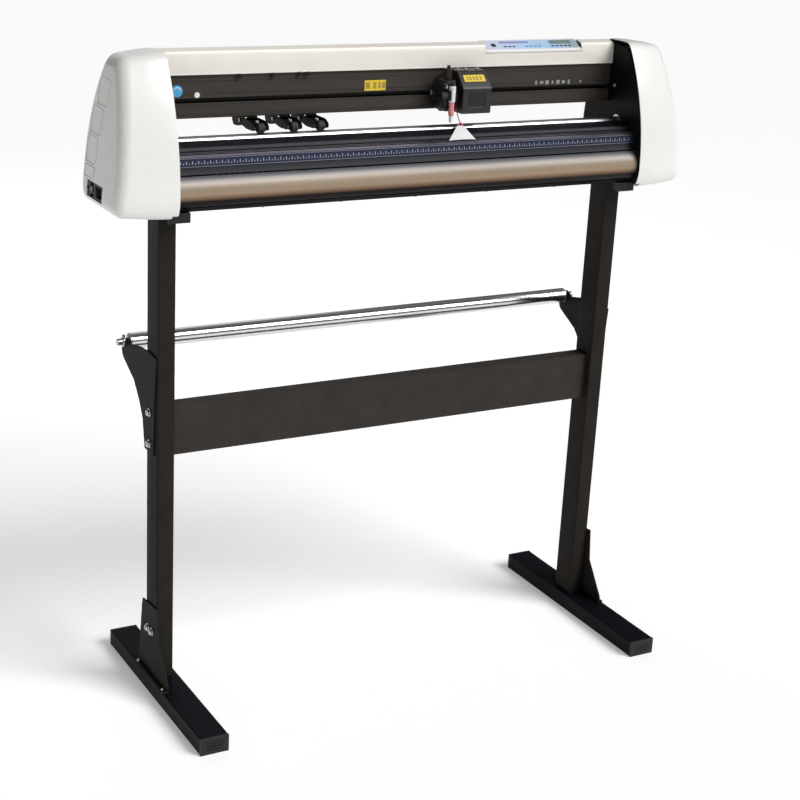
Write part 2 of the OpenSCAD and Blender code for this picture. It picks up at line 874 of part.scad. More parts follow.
// Shelves on the side panels: the right one carries the motor, the left one the idler's pin
module pulley_brackets() {
    half = motor_side / 2 + 3;
    shelf_l = 62;
    idler_half = 20;
    idler_shelf_l = 48;
    drop = 30;
    color("#3a3a3c") in_head() union() {
        difference() {
            union() {
                block([panel_x, belt_y - half, shelf_z],
                      [panel_x + shelf_l, belt_y + half, shelf_z + bracket_t]);
                block([panel_x, belt_y - half, shelf_z - drop],
                      [panel_x + bracket_t, belt_y + half, shelf_z + eps]);
            }
            rod_z(shelf_z - clear, shelf_z + bracket_t + clear, pulley_x, belt_y, boss_r + 0.5);
        }
    }
    color("#3a3a3c") in_head() union() {
        block([-panel_x - idler_shelf_l, belt_y - idler_half, shelf_z],
              [-panel_x, belt_y + idler_half, shelf_z + bracket_t]);
        block([-panel_x - bracket_t, belt_y - idler_half, shelf_z - drop],
              [-panel_x, belt_y + idler_half, shelf_z + eps]);
        rod_z(shelf_z, slot_z + belt_w / 2 + 4, -pulley_x, belt_y, idler_pin_r);
        rod_z(shelf_z, shelf_z + bracket_t + 6, -pulley_x, belt_y, idler_pin_r + 2);
    }
}

// A toothed pulley about Z, with its flanges above and below the belt
module pulley_z_axis(x, bore) {
    teeth = round(belt_pulley_r * 2);
    half = belt_w / 2 + 0.6;
    rim_r = belt_pulley_r + 2.2;
    difference() {
        union() {
            rod_z(slot_z - half - flange_t, slot_z - half, x, belt_y, rim_r);
            rod_z(slot_z + half, slot_z + half + flange_t, x, belt_y, rim_r);
            rod_z(slot_z - half, slot_z + half, x, belt_y, belt_pulley_r);
        }
        rod_z(slot_z - 12, slot_z + 12, x, belt_y, bore);
        for (i = [0:teeth - 1]) {
            translate([x, belt_y, slot_z - half]) rotate([0, 0, 360 * i / teeth])
                translate([belt_pulley_r - 0.1, 0, 0]) cylinder(h = 2 * half, r = tooth_r, $fn = 8);
        }
    }
}

module carriage_motor() {
    color("#2c2c2e") in_head() translate([pulley_x, belt_y, shelf_z])
        stepper(shelf_drop + belt_w + 5);
}

module drive_pulley() {
    color("#a7a9ac") in_head() pulley_z_axis(pulley_x, motor_shaft_r + run_gap);
}

module idler_pulley() {
    color("#a7a9ac") in_head() pulley_z_axis(-pulley_x, idler_pin_r + run_gap);
}

module carriage_belt() {
    color("#1c1c1c") in_head() translate([0, 0, slot_z - belt_w / 2]) linear_extrude(belt_w)
        belt_loop([-pulley_x, belt_y], [pulley_x, belt_y], belt_in, belt_in, belt_t);
}

// ---- carriage ---------------------------------------------------------------------

module on_carriage() {
    in_head() translate([carriage_x, 0, 0]) children();
}

// The back plate, with its lower left corner cut away
module carriage_plate() {
    color("#1d1f22") on_carriage() translate([0, plate_y + plate_t, 0]) rotate([90, 0, 0])
        linear_extrude(plate_t) polygon([
            [plate_l, box_z + 12], [plate_l + 16, box_z - 3], [plate_r, box_z - 3],
            [plate_r, rail_top - 6], [plate_l + 20, rail_top - 6], [plate_l, rail_top - 30]
        ]);
}

// The glide that runs in the rail's front slot, with the belt's clamp behind it
module glide_shoe() {
    half = slot_h / 2 + 5;
    jaw_t = 2;
    back = rail_y + rail_wall + slide_gap;
    jaw_y = belt_y - belt_in + slide_gap;
    color("#d9d9d6") on_carriage() union() {
        block([glide_l, plate_y + plate_t, slot_z - half], [glide_r, rail_y - slide_gap, slot_z + half]);
        block([glide_l, rail_y - slide_gap - eps, slot_z - slot_h / 2 + slide_gap],
              [glide_r, back + eps, slot_z + slot_h / 2 - slide_gap]);
        block([glide_l, back, slot_z - half], [glide_r, back + jaw_t, slot_z + half]);
        block([-belt_clamp, back, slot_z + belt_w / 2 + slide_gap],
              [belt_clamp, jaw_y + jaw_t, slot_z + half]);
        block([-belt_clamp, jaw_y, slot_z - half], [belt_clamp, jaw_y + jaw_t, slot_z + half]);
    }
}

// The moulded cover: a box with a sloping upper front, open at the back
module carriage_cover() {
    wall = 2;
    window_side = 12;
    window_low = 11;
    window_h = 25;
    section = [
        [box_front, box_z], [box_front, box_z + box_h * 0.62], [box_front + 25, box_z + box_h],
        [plate_y, box_z + box_h], [plate_y, box_z]
    ];
    color("#25221f") on_carriage() difference() {
        along_x(box_l, box_l + box_w) polygon(section);
        along_x(box_l + wall, box_l + box_w - wall) offset(delta = -wall) polygon(section);
        block([box_l + wall, plate_y - wall - clear, box_z + wall],
              [box_l + box_w - wall, plate_y + clear, box_z + box_h - wall]);
        block([box_l + window_side, box_front - clear, box_z + window_low],
              [box_l + box_w - window_side, box_front + 0.8, box_z + window_low + window_h]);
    }
}

// The lifting magnet's frame, with the two rods that the holder's clamp slides on
module lift_unit() {
    lug_front = -28;
    lug_t = 4;
    low = box_z + 8;
    high = box_z + 50;
    color("#3b3d40") on_carriage() union() {
        block([lift_l, lift_back, low], [lift_r + 8, plate_y, high + lug_t]);
        block([lift_l, lug_front, high], [lift_r, lift_back + eps, high + lug_t]);
        block([lift_l, lug_front, low - lug_t], [lift_r, plate_y, low + eps]);
        for (x = rod_x) {
            rod_z(low - eps, high + eps, x, rod_line_y, rod_r);
        }
    }
}

// The clamp that carries the blade holder and slides on the lift rods
module holder_clamp() {
    low = box_z + 24;
    high = box_z + 40;
    body_front = -30;
    neck = 6;
    color("#1a1a1a") on_carriage() difference() {
        union() {
            block([lift_l, body_front, low], [lift_r, lift_back - slide_gap, high]);
            rod_z(low, high, blade_x, blade_y, holder_r + 3);
            block([blade_x - neck, blade_y, low], [blade_x + neck, body_front + eps, high]);
        }
        rod_z(low - clear, high + clear, blade_x, blade_y, holder_r);
        for (x = rod_x) {
            rod_z(low - clear, high + clear, x, rod_line_y, rod_r + run_gap);
        }
        rod_x(blade_x - 14, blade_x, blade_y, low + 8, knob_stem_r + run_gap);
    }
}

// The white holder: a round grip, a collar, a ball nose and the blade's bore
module blade_holder() {
    color("#e8e8e6") on_carriage() translate([blade_x, blade_y, tip_z]) rotate_extrude($fn = 64) polygon([
        [1 + run_gap, 0], [2.2, 0], [3, 2], [4.4, 5], [5, 8], [4.6, 11], [3.4, 13.5], [3.4, 19],
        [holder_r - 0.6, 23], [holder_r, 25], [holder_r, 64], [holder_r - 1, 66], [3, 66],
        [3, 30], [1 + run_gap, 30]
    ]);
}

// The swivelling drag blade, its point just below the holder's nose
module blade() {
    color("#d6d8da") on_carriage() translate([blade_x, blade_y, tip_z]) union() {
        translate([0, 0, 0.6]) cylinder(h = 28, r = 1);
        block([-0.25, -0.3, -0.4], [0.5, 0.3, 0.8]);
    }
}

// The thumb screw in the clamp's side
module holder_knob() {
    knob_l = 12;
    near = blade_x - holder_r - 4;
    z = box_z + 32;
    color("#202020") on_carriage() union() {
        rod_x(near - knob_l, near, blade_y, z, knob_r);
        rod_x(near - eps, blade_x - holder_r - 0.2, blade_y, z, knob_stem_r);
    }
}

// A ring of points round the string where it runs in direction d
function ring(c, d, r) = let (
    a = unit(cross(d, [1, 0, 0])),
    b = cross(unit(d), a)
) [
    for (i = [0:string_sides - 1])
        let (turn = 360 * i / string_sides) c + r * (cos(turn) * a + sin(turn) * b)
];

module swept(path, r) {
    n = len(path);
    rings = [
        for (i = [0:n - 1])
            ring(path[i], path[min(i + 1, n - 1)] - path[max(i - 1, 0)], r)
    ];
    points = [for (g = rings) each g];
    sides = [
        for (i = [0:n - 2], j = [0:string_sides - 1])
            let (k = (j + 1) % string_sides)
                [
                    i * string_sides + j, i * string_sides + k,
                    (i + 1) * string_sides + k, (i + 1) * string_sides + j
                ]
    ];
    start = [for (j = [string_sides - 1:-1:0]) j];
    end = [for (j = [0:string_sides - 1]) (n - 1) * string_sides + j];
    polyhedron(points = points, faces = concat(sides, [start], [end]));
}

module tag_string() {
    color("#a3202f") on_carriage() swept(string_path, string_r);
}

// A folded paper tag that leans on the platen's front slope
module transit_tag() {
    color("#f6f4f6") on_carriage() translate(tag_apex) rotate([tag_slope, 0, 0]) linear_extrude(tag_t)
        polygon([
            [-4, 0], [4, 0], [tag_skew + tag_w / 2, -tag_l], [tag_skew - tag_w / 2, -tag_l]
        ]);
}

// ---- pinch rollers -------------------------------------------------------------------

// Hangs in the slot under the rail: a T head, a block and two ears with the pivot's bore
module pinch_bracket(x) {
    head_w = foot_slot_w + 8;
    head_h = 3;
    head_z = rail_z + rail_wall + slide_gap;
    plate_top = rail_z - slide_gap;
    ear_low = pivot_z - 5;
    color("#17181a") in_head() translate([x, 0, 0]) difference() {
        union() {
            block([-hanger_l, foot_slot_y - head_w / 2, head_z],
                  [hanger_l, foot_slot_y + head_w / 2, head_z + head_h]);
            block([-hanger_l, foot_slot_y - foot_slot_w / 2 + slide_gap, plate_top - eps],
                  [hanger_l, foot_slot_y + foot_slot_w / 2 - slide_gap, head_z + eps]);
            block([-ear_w / 2, foot_slot_y - ear_reach, plate_top - ear_drop],
                  [ear_w / 2, foot_slot_y + ear_reach, plate_top]);
            for (s = [-1, 1]) {
                block([s * ear_w / 2 - (s > 0 ? ear_t : 0), foot_slot_y - ear_reach, ear_low],
                      [s * ear_w / 2 + (s > 0 ? 0 : ear_t), foot_slot_y + ear_reach,
                       plate_top - ear_drop + eps]);
            }
        }
        rod_x(-ear_w, ear_w, pivot_y, pivot_z, pivot_r + run_gap);
    }
}

// A fork for the wheel, a beam, the pivot pin and the lifting lever at the rear
module pinch_arm(x) {
    wheel_clear = 1;
    fork_h = 8;
    beam_back = pivot_y + 5;
    lever_half = 6;
    lever_end = rail_back + 26;
    color("#1b1c1f") in_head() translate([x, 0, 0]) union() {
        for (s = [-1, 1]) {
            difference() {
                block([s * arm_w / 2 - (s > 0 ? fork_t : 0), shaft_y - 5, wheel_z - fork_h / 2],
                      [s * arm_w / 2 + (s > 0 ? 0 : fork_t), pivot_y - 4, wheel_z + fork_h / 2]);
                rod_x(-arm_w, arm_w, shaft_y, wheel_z, axle_pin_r);
            }
        }
        rod_x(-arm_w / 2, arm_w / 2, shaft_y, wheel_z, axle_pin_r);
        block([-arm_w / 2, shaft_y + wheel_r + wheel_clear, wheel_z - 3],
              [arm_w / 2, beam_back, wheel_z + 5.5]);
        rod_x(-ear_w / 2 - 1.5, ear_w / 2 + 1.5, pivot_y, pivot_z, pivot_r);
        block([-lever_half, beam_back - eps, wheel_z - 2], [lever_half, lever_end, wheel_z + 2]);
    }
}

module pinch_wheel(x) {
    color("#2e2f31") in_head() translate([x, 0, 0]) difference() {
        rod_x(-wheel_w / 2, wheel_w / 2, shaft_y, wheel_z, wheel_r);
        rod_x(-wheel_w, wheel_w, shaft_y, wheel_z, axle_pin_r + run_gap);
    }
}

module pinch_bracket_1() { pinch_bracket(pinch_x[0]); }
module pinch_bracket_2() { pinch_bracket(pinch_x[1]); }
module pinch_bracket_3() { pinch_bracket(pinch_x[2]); }
module pinch_arm_1() { pinch_arm(pinch_x[0]); }
module pinch_arm_2() { pinch_arm(pinch_x[1]); }
module pinch_arm_3() { pinch_arm(pinch_x[2]); }
module pinch_wheel_1() { pinch_wheel(pinch_x[0]); }
module pinch_wheel_2() { pinch_wheel(pinch_x[1]); }
module pinch_wheel_3() { pinch_wheel(pinch_x[2]); }

left_foot();
right_foot();
foot_caps();
left_column();
right_column();
foot_gussets();
cross_panel();
roll_arms();
media_roller();
roller_plugs();
head_brackets();
head_knobs();
stand_bolts();
left_side_panel();
right_side_panel();
left_cover();
right_cover();
hood();
rail();
platen();
ruler_strip();
cutting_strip();
apron();
base_tray();
control_panel();
keypad_overlay();
power_inlet();
power_switch();
power_supply();
mainboard();
grit_shaft();
shaft_bearings();
feed_pulley();
feed_motor();
feed_motor_pulley();
feed_belt();
pulley_brackets();
carriage_motor();
drive_pulley();
idler_pulley();
carriage_belt();
carriage_plate();
glide_shoe();
carriage_cover();
lift_unit();
holder_clamp();
blade_holder();
blade();
holder_knob();
tag_string();
transit_tag();
pinch_bracket_1();
pinch_bracket_2();
pinch_bracket_3();
pinch_arm_1();
pinch_arm_2();
pinch_arm_3();
pinch_wheel_1();
pinch_wheel_2();
pinch_wheel_3();
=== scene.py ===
"""Looks of a vinyl cutting plotter on a floor stand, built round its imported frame.

Lengths are in metres. X runs along the machine, +Y to its rear and +Z up, as in the frame, and each
piece takes its place from the frame's boxes. A finish is a dataclass, and a sub-assembly is a class.
"""

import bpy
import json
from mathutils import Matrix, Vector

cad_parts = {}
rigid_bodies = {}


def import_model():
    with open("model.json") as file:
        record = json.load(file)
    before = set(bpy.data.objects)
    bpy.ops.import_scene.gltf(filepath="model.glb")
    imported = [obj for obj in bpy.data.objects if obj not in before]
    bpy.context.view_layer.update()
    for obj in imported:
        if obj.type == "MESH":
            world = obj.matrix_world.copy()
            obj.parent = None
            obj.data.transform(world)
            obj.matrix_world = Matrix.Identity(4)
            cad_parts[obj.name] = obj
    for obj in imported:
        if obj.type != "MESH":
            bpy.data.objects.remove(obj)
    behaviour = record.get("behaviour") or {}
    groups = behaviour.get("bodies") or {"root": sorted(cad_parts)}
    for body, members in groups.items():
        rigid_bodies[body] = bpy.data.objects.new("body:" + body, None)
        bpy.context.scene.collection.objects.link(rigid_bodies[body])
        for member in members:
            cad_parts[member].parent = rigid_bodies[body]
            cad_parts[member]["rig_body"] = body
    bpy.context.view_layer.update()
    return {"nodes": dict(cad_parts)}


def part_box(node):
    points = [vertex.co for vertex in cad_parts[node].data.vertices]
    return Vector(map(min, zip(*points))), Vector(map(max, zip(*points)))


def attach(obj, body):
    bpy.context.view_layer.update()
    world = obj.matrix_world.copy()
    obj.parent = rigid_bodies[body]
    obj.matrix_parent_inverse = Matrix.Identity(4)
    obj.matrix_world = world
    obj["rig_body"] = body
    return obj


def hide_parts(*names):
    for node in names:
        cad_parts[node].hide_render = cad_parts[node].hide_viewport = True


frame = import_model()

import json
import logging
import math
from collections.abc import Callable, Iterable, Sequence
from dataclasses import dataclass, field
from enum import Enum
from functools import partial
from typing import Any

import bmesh
import bpy
from mathutils import Matrix, Vector

LOG = logging.getLogger("plotter")
MM = 0.001
RIGHT_ANGLE = math.pi / 2
Rgb = tuple[float, float, float]
Outline = list[tuple[float, float]]


class Axis(Enum):
    """The three directions of the frame, with the turn that lays local +Z along each."""

    X = 0
    Y = 1
    Z = 2

    def turn(self) -> Matrix:
        """The rotation that takes +Z to this axis.

        Returns:
            A rotation matrix.
        """
        return {
            Axis.X: Matrix.Rotation(RIGHT_ANGLE, 4, "Y"), Axis.Y: Matrix.Rotation(-RIGHT_ANGLE, 4, "X"),
            Axis.Z: Matrix.Identity(4),
        }[self]


class Side(Enum):
    """The two ends of the machine, as the sign of X."""

    LEFT = -1
    RIGHT = 1


# ---- shapes ----------------------------------------------------------------


@dataclass
class Shape:
    """A closed mesh in the making.

    Args:
        points: the corners.
        faces: each face as the numbers of its corners.
    """

    points: list[Vector] = field(default_factory=list)
    faces: list[tuple[int, ...]] = field(default_factory=list)

    def __add__(self, other: "Shape") -> "Shape":
        """Both shapes as one, not merged.

        Args:
            other: the second shape.

        Returns:
            A new shape.
        """
        start = len(self.points)
        return Shape(
            self.points + other.points, self.faces + [tuple(i + start for i in f) for f in other.faces]
        )

    def moved(self, matrix: Matrix) -> "Shape":
        """A copy put through a matrix."""
        return Shape([matrix @ p for p in self.points], list(self.faces))

    def at(self, x: float, y: float, z: float, axis: Axis = Axis.Z) -> "Shape":
        """A copy with its +Z laid along an axis and its origin at a place."""
        return self.moved(Matrix.Translation((x, y, z)) @ axis.turn())

    def mesh(self, name: str) -> bpy.types.Mesh:
        """The shape as a Blender mesh, with doubles merged and every face pointing outwards.

        Args:
            name: the mesh's name.

        Returns:
            The mesh.
        """
        made = bpy.data.meshes.new(name)
        made.from_pydata([tuple(p) for p in self.points], [], self.faces)
        bm = bmesh.new()
        bm.from_mesh(made)
        bmesh.ops.remove_doubles(bm, verts=bm.verts, dist=1e-7)
        bmesh.ops.recalc_face_normals(bm, faces=bm.faces)
        bm.to_mesh(made)
        bm.free()
        return made


def block(low: Sequence[float], high: Sequence[float]) -> Shape:
    """A box between two corners.

    Args:
        low, high: two opposite corners.

    Returns:
        A closed shape.
    """
    xs, ys, zs = zip(low, high)
    points = [Vector((x, y, z)) for z in zs for y in ys for x in xs]
    return Shape(
        points, [(0, 2, 3, 1), (4, 5, 7, 6), (0, 1, 5, 4), (2, 6, 7, 3), (0, 4, 6, 2), (1, 3, 7, 5)]
    )


def prism(outline: Outline, low: float, high: float, axis: Axis = Axis.X) -> Shape:
    """An outline stretched along an axis.

    Args:
        outline: points in the two other directions, in the order X, Y, Z.
        low: where it starts along the axis.
        high: where it ends along the axis.
        axis: the direction that it is stretched in.

    Returns:
        A closed shape with flat ends.
    """
    count = len(outline)

    def place(a: float, b: float, along: float) -> Vector:
        spot = [a, b]
        spot.insert(axis.value, along)
        return Vector(spot)

    points = [place(a, b, low) for a, b in outline] + [place(a, b, high) for a, b in outline]
    walls = [(i, (i + 1) % count, (i + 1) % count + count, i + count) for i in range(count)]
    return Shape(points, walls + [tuple(range(count))[::-1], tuple(range(count, 2 * count))])


def lathe(profile: Outline, steps: int = 32) -> Shape:
    """A profile of (radius, height) turned about Z, closed at the axis or round a bore.

    Args:
        profile: the radii and heights, in order.
        steps: the faces round.

    Returns:
        A closed shape.
    """
    shape = Shape()
    rings: list[list[int]] = []
    for radius, height in profile:
        first = len(shape.points)
        if radius < 1e-9:
            shape.points.append(Vector((0, 0, height)))
            rings.append([first] * steps)
            continue
        for i in range(steps):
            turn = math.tau * i / steps
            shape.points.append(Vector((radius * math.cos(turn), radius * math.sin(turn), height)))
        rings.append(list(range(first, first + steps)))
    open_bore = profile[0][0] > 1e-9 and profile[-1][0] > 1e-9
    pairs = list(zip(rings, rings[1:])) + ([(rings[-1], rings[0])] if open_bore else [])
    for lower, upper in pairs:
        for i in range(steps):
            j = (i + 1) % steps
            corners = (lower[i], lower[j], upper[j], upper[i])
            shape.faces.append(tuple(dict.fromkeys(corners)))
    return shape


def rod(low: float, high: float, radius: float, edge: float = 0.0, steps: int = 28) -> Shape:
    """A round bar along Z with small chamfers.

    Args:
        low, high: its ends.
        radius: its radius.
        edge: the chamfer's width, 0 for none.
        steps: the faces round.

    Returns:
        A closed shape.
    """
    profile = [(0.0, low), (radius - edge, low), (radius, low + edge)]
    profile += [(radius, high - edge), (radius - edge, high), (0.0, high)]
    return lathe(profile if edge else [(0.0, low), (radius, low), (radius, high), (0.0, high)], steps)


def tube(path: Sequence[Vector], radius: float, sides: int = 10) -> Shape:
    """A round bar that follows a line of points, closed at both ends.

    Args:
        path: the points that its middle follows.
        radius: its radius.
        sides: the faces round.

    Returns:
        A closed shape.
    """
    shape = Shape()
    last = len(path) - 1
    normal = Vector((1, 0, 0))
    for i, spot in enumerate(path):
        along = (path[min(i + 1, last)] - path[max(i - 1, 0)]).normalized()
        normal = (normal - along * normal.dot(along)).normalized()
        across = along.cross(normal)
        for k in range(sides):
            turn = math.tau * k / sides
            shape.points.append(spot + radius * (math.cos(turn) * normal + math.sin(turn) * across))
    for i in range(last):
        for k in range(sides):
            j = (k + 1) % sides
            shape.faces.append((i * sides + k, i * sides + j, (i + 1) * sides + j, (i + 1) * sides + k))
    shape.faces += [tuple(range(sides))[::-1], tuple(range(last * sides, (last + 1) * sides))]
    return shape


def arc(centre: Sequence[float], radius: float, start: float, end: float, steps: int) -> Outline:
    """Points on an arc, with its angles in degrees."""
    turns = [math.radians(start + (end - start) * i / steps) for i in range(steps + 1)]
    return [(centre[0] + radius * math.cos(t), centre[1] + radius * math.sin(t)) for t in turns]


def rounded(outline: Outline, radius: float, steps: int = 4) -> Outline:
    """An outline with every corner drawn as a short curve that starts and ends a radius away from it.

    Args:
        outline: the corners.
        radius: how far from a corner its curve starts.
        steps: the pieces of each curve.

    Returns:
        The new outline.
    """
    made: Outline = []
    count = len(outline)
    for i in range(count):
        here, before, after = (Vector(outline[k % count]) for k in (i, i - 1, i + 1))
        reach = min(radius, (before - here).length * 0.45, (after - here).length * 0.45)
        start = here + (before - here).normalized() * reach
        end = here + (after - here).normalized() * reach
        for k in range(steps + 1):
            t = k / steps
            made.append(tuple(start * (1 - t) ** 2 + here * 2 * t * (1 - t) + end * t * t))
    return made


def plate(width: float, height: float, radius: float, centre: Sequence[float] = (0, 0)) -> Outline:
    """A rectangle's outline with rounded corners, round its centre.

    Args:
        width, height: its sizes.
        radius: how far from a corner its curve starts.
        centre: its middle.

    Returns:
        The outline.
    """
    x, y = width / 2, height / 2
    cx, cy = centre
    return rounded([(cx - x, cy - y), (cx + x, cy - y), (cx + x, cy + y), (cx - x, cy + y)], radius, 5)


# ---- finishes ----------------------------------------------------------------


@dataclass(frozen=True)
class Finish:
    """A surface with patches of tone, a fine grain and its own gloss.

    Args:
        name: the material's name.
        slot: the record's material slot; not used.
        color: its colour, linear.
        roughness: the middle of its roughness.
        metallic: 1 for bare metal.
        patch: how much the tone varies, as a share.
        patch_size: the width of a patch of tone.
        grain: the depth of the grain.
        grain_size: the width of one grain.
        stretch: how many times longer the pattern is along X, for drawn and brushed metal.
        gloss_spread: how much the roughness varies.
        coat: weight of a clear coat.
        specular: how strongly its surface mirrors, 0.5 for plain plastic.
    """

    name: str
    slot: str
    color: Rgb
    roughness: float = 0.4
    metallic: float = 0.0
    patch: float = 0.06
    patch_size: float = 40 * MM
    grain: float = 0.02 * MM
    grain_size: float = 0.9 * MM
    stretch: float = 1.0
    gloss_spread: float = 0.05
    coat: float = 0.0
    specular: float = 0.5

    def tint(self, tree: bpy.types.NodeTree, place: bpy.types.NodeSocket) -> bpy.types.NodeSocket:
        """The colour before it is patched: the plain colour, as a socket.

        Args:
            tree: the material's node tree.
            place: the object coordinates.

        Returns:
            A colour output.
        """
        plain = tree.nodes.new("ShaderNodeRGB")
        plain.outputs[0].default_value = (*self.color, 1)
        return plain.outputs[0]

    def noise(
        self, tree: bpy.types.NodeTree, vector: bpy.types.NodeSocket, size: float, detail: float
    ) -> Any:
        """A noise texture whose features have a given width, as its factor output.

        Args:
            tree: the material's node tree.
            vector: the coordinates.
            size: a feature's width.
            detail: how fine it goes.

        Returns:
            The factor output.
        """
        made = tree.nodes.new("ShaderNodeTexNoise")
        made.inputs["Scale"].default_value = 1 / size
        made.inputs["Detail"].default_value = detail
        tree.links.new(vector, made.inputs["Vector"])
        return made.outputs[0]

    def material(self) -> bpy.types.Material:
        """The Blender material, made once.

        Returns:
            The material, named apart from the CAD's own.
        """
        known = bpy.data.materials.get(f"{self.name}_finish")
        if known:
            return known
        made = bpy.data.materials.new(f"{self.name}_finish")
        made.use_nodes = True
        tree = made.node_tree
        shader = tree.nodes["Principled BSDF"]
        shader.inputs["Metallic"].default_value = self.metallic
        shader.inputs["Coat Weight"].default_value = self.coat
        shader.inputs["Coat Roughness"].default_value = 0.12
        shader.inputs["Specular IOR Level"].default_value = self.specular
        place = tree.nodes.new("ShaderNodeTexCoord").outputs["Object"]
        drawn = tree.nodes.new("ShaderNodeMapping")
        drawn.inputs["Scale"].default_value = (1 / self.stretch, 1, 1)
        tree.links.new(place, drawn.inputs["Vector"])
        pattern = drawn.outputs["Vector"]
        shade = tree.nodes.new("ShaderNodeMapRange")
        shade.inputs["From Min"].default_value = 0.3
        shade.inputs["From Max"].default_value = 0.7
        shade.inputs["To Min"].default_value = 1 - self.patch
        shade.inputs["To Max"].default_value = 1 + self.patch
        tree.links.new(self.noise(tree, pattern, self.patch_size, 4), shade.inputs["Value"])
        toned = tree.nodes.new("ShaderNodeVectorMath")
        toned.operation = "SCALE"
        tree.links.new(self.tint(tree, place), toned.inputs[0])
        tree.links.new(shade.outputs["Result"], toned.inputs["Scale"])
        tree.links.new(toned.outputs["Vector"], shader.inputs["Base Color"])
        grain = self.noise(tree, pattern, self.grain_size, 2)
        gloss = tree.nodes.new("ShaderNodeMapRange")
        gloss.inputs["To Min"].default_value = max(0.02, self.roughness - self.gloss_spread)
        gloss.inputs["To Max"].default_value = min(1.0, self.roughness + self.gloss_spread)
        tree.links.new(self.noise(tree, pattern, self.patch_size / 5, 3), gloss.inputs["Value"])
        tree.links.new(gloss.outputs["Result"], shader.inputs["Roughness"])
        bump = tree.nodes.new("ShaderNodeBump")
        bump.inputs["Strength"].default_value = 0.6
        bump.inputs["Distance"].default_value = self.grain
        tree.links.new(grain, bump.inputs["Height"])
        tree.links.new(bump.outputs["Normal"], shader.inputs["Normal"])
        return made


@dataclass(frozen=True)
class BandedFinish(Finish):
    """A finish whose colour runs through stops along one axis of the frame.

    Args:
        axis: the direction that the stops lie along.
        stops: each stop as its place along the axis and its colour.
    """

    axis: Axis = Axis.Z
    stops: tuple[tuple[float, Rgb], ...] = ()

    def tint(self, tree: bpy.types.NodeTree, place: bpy.types.NodeSocket) -> bpy.types.NodeSocket:
        """The colour of the stops, read off the place along the axis.

        Args:
            tree: the material's node tree.
            place: the object coordinates.

        Returns:
            A colour output.
        """
        split = tree.nodes.new("ShaderNodeSeparateXYZ")
        tree.links.new(place, split.inputs[0])
        first, last = self.stops[0][0], self.stops[-1][0]
        share = tree.nodes.new("ShaderNodeMapRange")
        share.inputs["From Min"].default_value = first
        share.inputs["From Max"].default_value = last
        tree.links.new(split.outputs[self.axis.value], share.inputs["Value"])
        ramp = tree.nodes.new("ShaderNodeValToRGB")
        while len(ramp.color_ramp.elements) < len(self.stops):
            ramp.color_ramp.elements.new(0.5)
        for element, (spot, color) in zip(ramp.color_ramp.elements, self.stops):
            element.position = (spot - first) / (last - first)
            element.color = (*color, 1)
        tree.links.new(share.outputs["Result"], ramp.inputs["Fac"])
        return ramp.outputs["Color"]


COVER_CREAM = Finish(
    "cover_moulding", "cover_moulding", (0.80, 0.785, 0.76), 0.38, patch=0.015, grain=0.03 * MM, coat=0.15
)
HOOD_CREAM = Finish(
    "hood_moulding", "hood_moulding", (0.77, 0.735, 0.675), 0.4, patch=0.02, grain=0.03 * MM, coat=0.1
)
PANEL_CREAM = Finish(
    "panel_moulding", "panel_moulding", (0.80, 0.79, 0.77), 0.42, patch=0.02, grain=0.03 * MM
)
SIDE_BLACK = Finish(
    "side_moulding", "side_moulding", (0.006, 0.006, 0.007), 0.5, patch=0.15, grain=0.04 * MM, specular=0.1
)
BLACK_PLASTIC = Finish(
    "black_moulding", "black_moulding", (0.010, 0.010, 0.011), 0.45, patch=0.15, grain=0.05 * MM,
    specular=0.3,
)
FOOT_PAINT = Finish(
    "foot_paint", "foot_paint", (
        0.0045, 0.0047, 0.0075
    ), 0.5, patch=0.15, grain=0.05 * MM, grain_size=0.7 * MM, specular=0.07
)
POWDER = Finish(
    "powder_coat", "powder_coat", (
        0.0200, 0.0172, 0.0150
    ), 0.55, patch=0.12, grain=0.06 * MM, grain_size=0.7 * MM, specular=0.05
)
PANEL_POWDER = Finish(
    "panel_coat", "powder_coat", (
        0.036, 0.031, 0.0275
    ), 0.55, patch=0.12, grain=0.06 * MM, grain_size=0.7 * MM, specular=0.08
)
TRAY_BLACK = Finish(
    "tray_coat", "black_moulding", (0.003, 0.0028, 0.0028), 0.6, patch=0.15, grain=0.05 * MM, specular=0.06
)
RAIL_BROWN = Finish(
    "rail_anodising", "rail_anodising", (
        0.054, 0.046, 0.040
    ), 0.48, 0.2, 0.12, 12 * MM, 0.012 * MM, 0.5 * MM, 40.0,
    specular=0.15
)
PLATEN_BLACK = Finish(
    "platen_anodising", "platen_anodising", (
        0.010, 0.011, 0.016
    ), 0.42, 0.2, 0.12, 10 * MM, 0.01 * MM, 0.5 * MM, 40.0,
    specular=0.16
)
LAVENDER_METAL = Finish(
    "bed_edge_metal", "platen_anodising", (
        0.30, 0.29, 0.36
    ), 0.32, 0.8, 0.1, 8 * MM, 0.008 * MM, 0.5 * MM, 40.0
)
RULER_NAVY = Finish(
    "ruler_film", "ruler_film", (0.018, 0.023, 0.048), 0.42, patch=0.08, stretch=10.0, specular=0.2
)
RULER_WHITE = Finish("ruler_marks", "ruler_film", (0.27, 0.29, 0.36), 0.5, patch=0.03)
STRIP_GREY = Finish(
    "cutting_strip", "cutting_strip", (0.055, 0.056, 0.062), 0.6, patch=0.1, grain=0.06 * MM
)
GROUND_STEEL = Finish(
    "machined_steel", "machined_steel", (
        0.52, 0.53, 0.55
    ), 0.3, 1.0, 0.04, 30 * MM, 0.001 * MM, 0.4 * MM, 20.0, 0.02
)
CHROME = Finish(
    "roller_chrome", "roller_chrome", (0.74, 0.74, 0.75), 0.2, 1.0, 0.03, 30 * MM, 0.002 * MM, 2 * MM, 30.0
)
ZINC = Finish("zinc_fastener", "zinc_fastener", (0.66, 0.67, 0.69), 0.3, 1.0, 0.08, 4 * MM, 0.01 * MM)
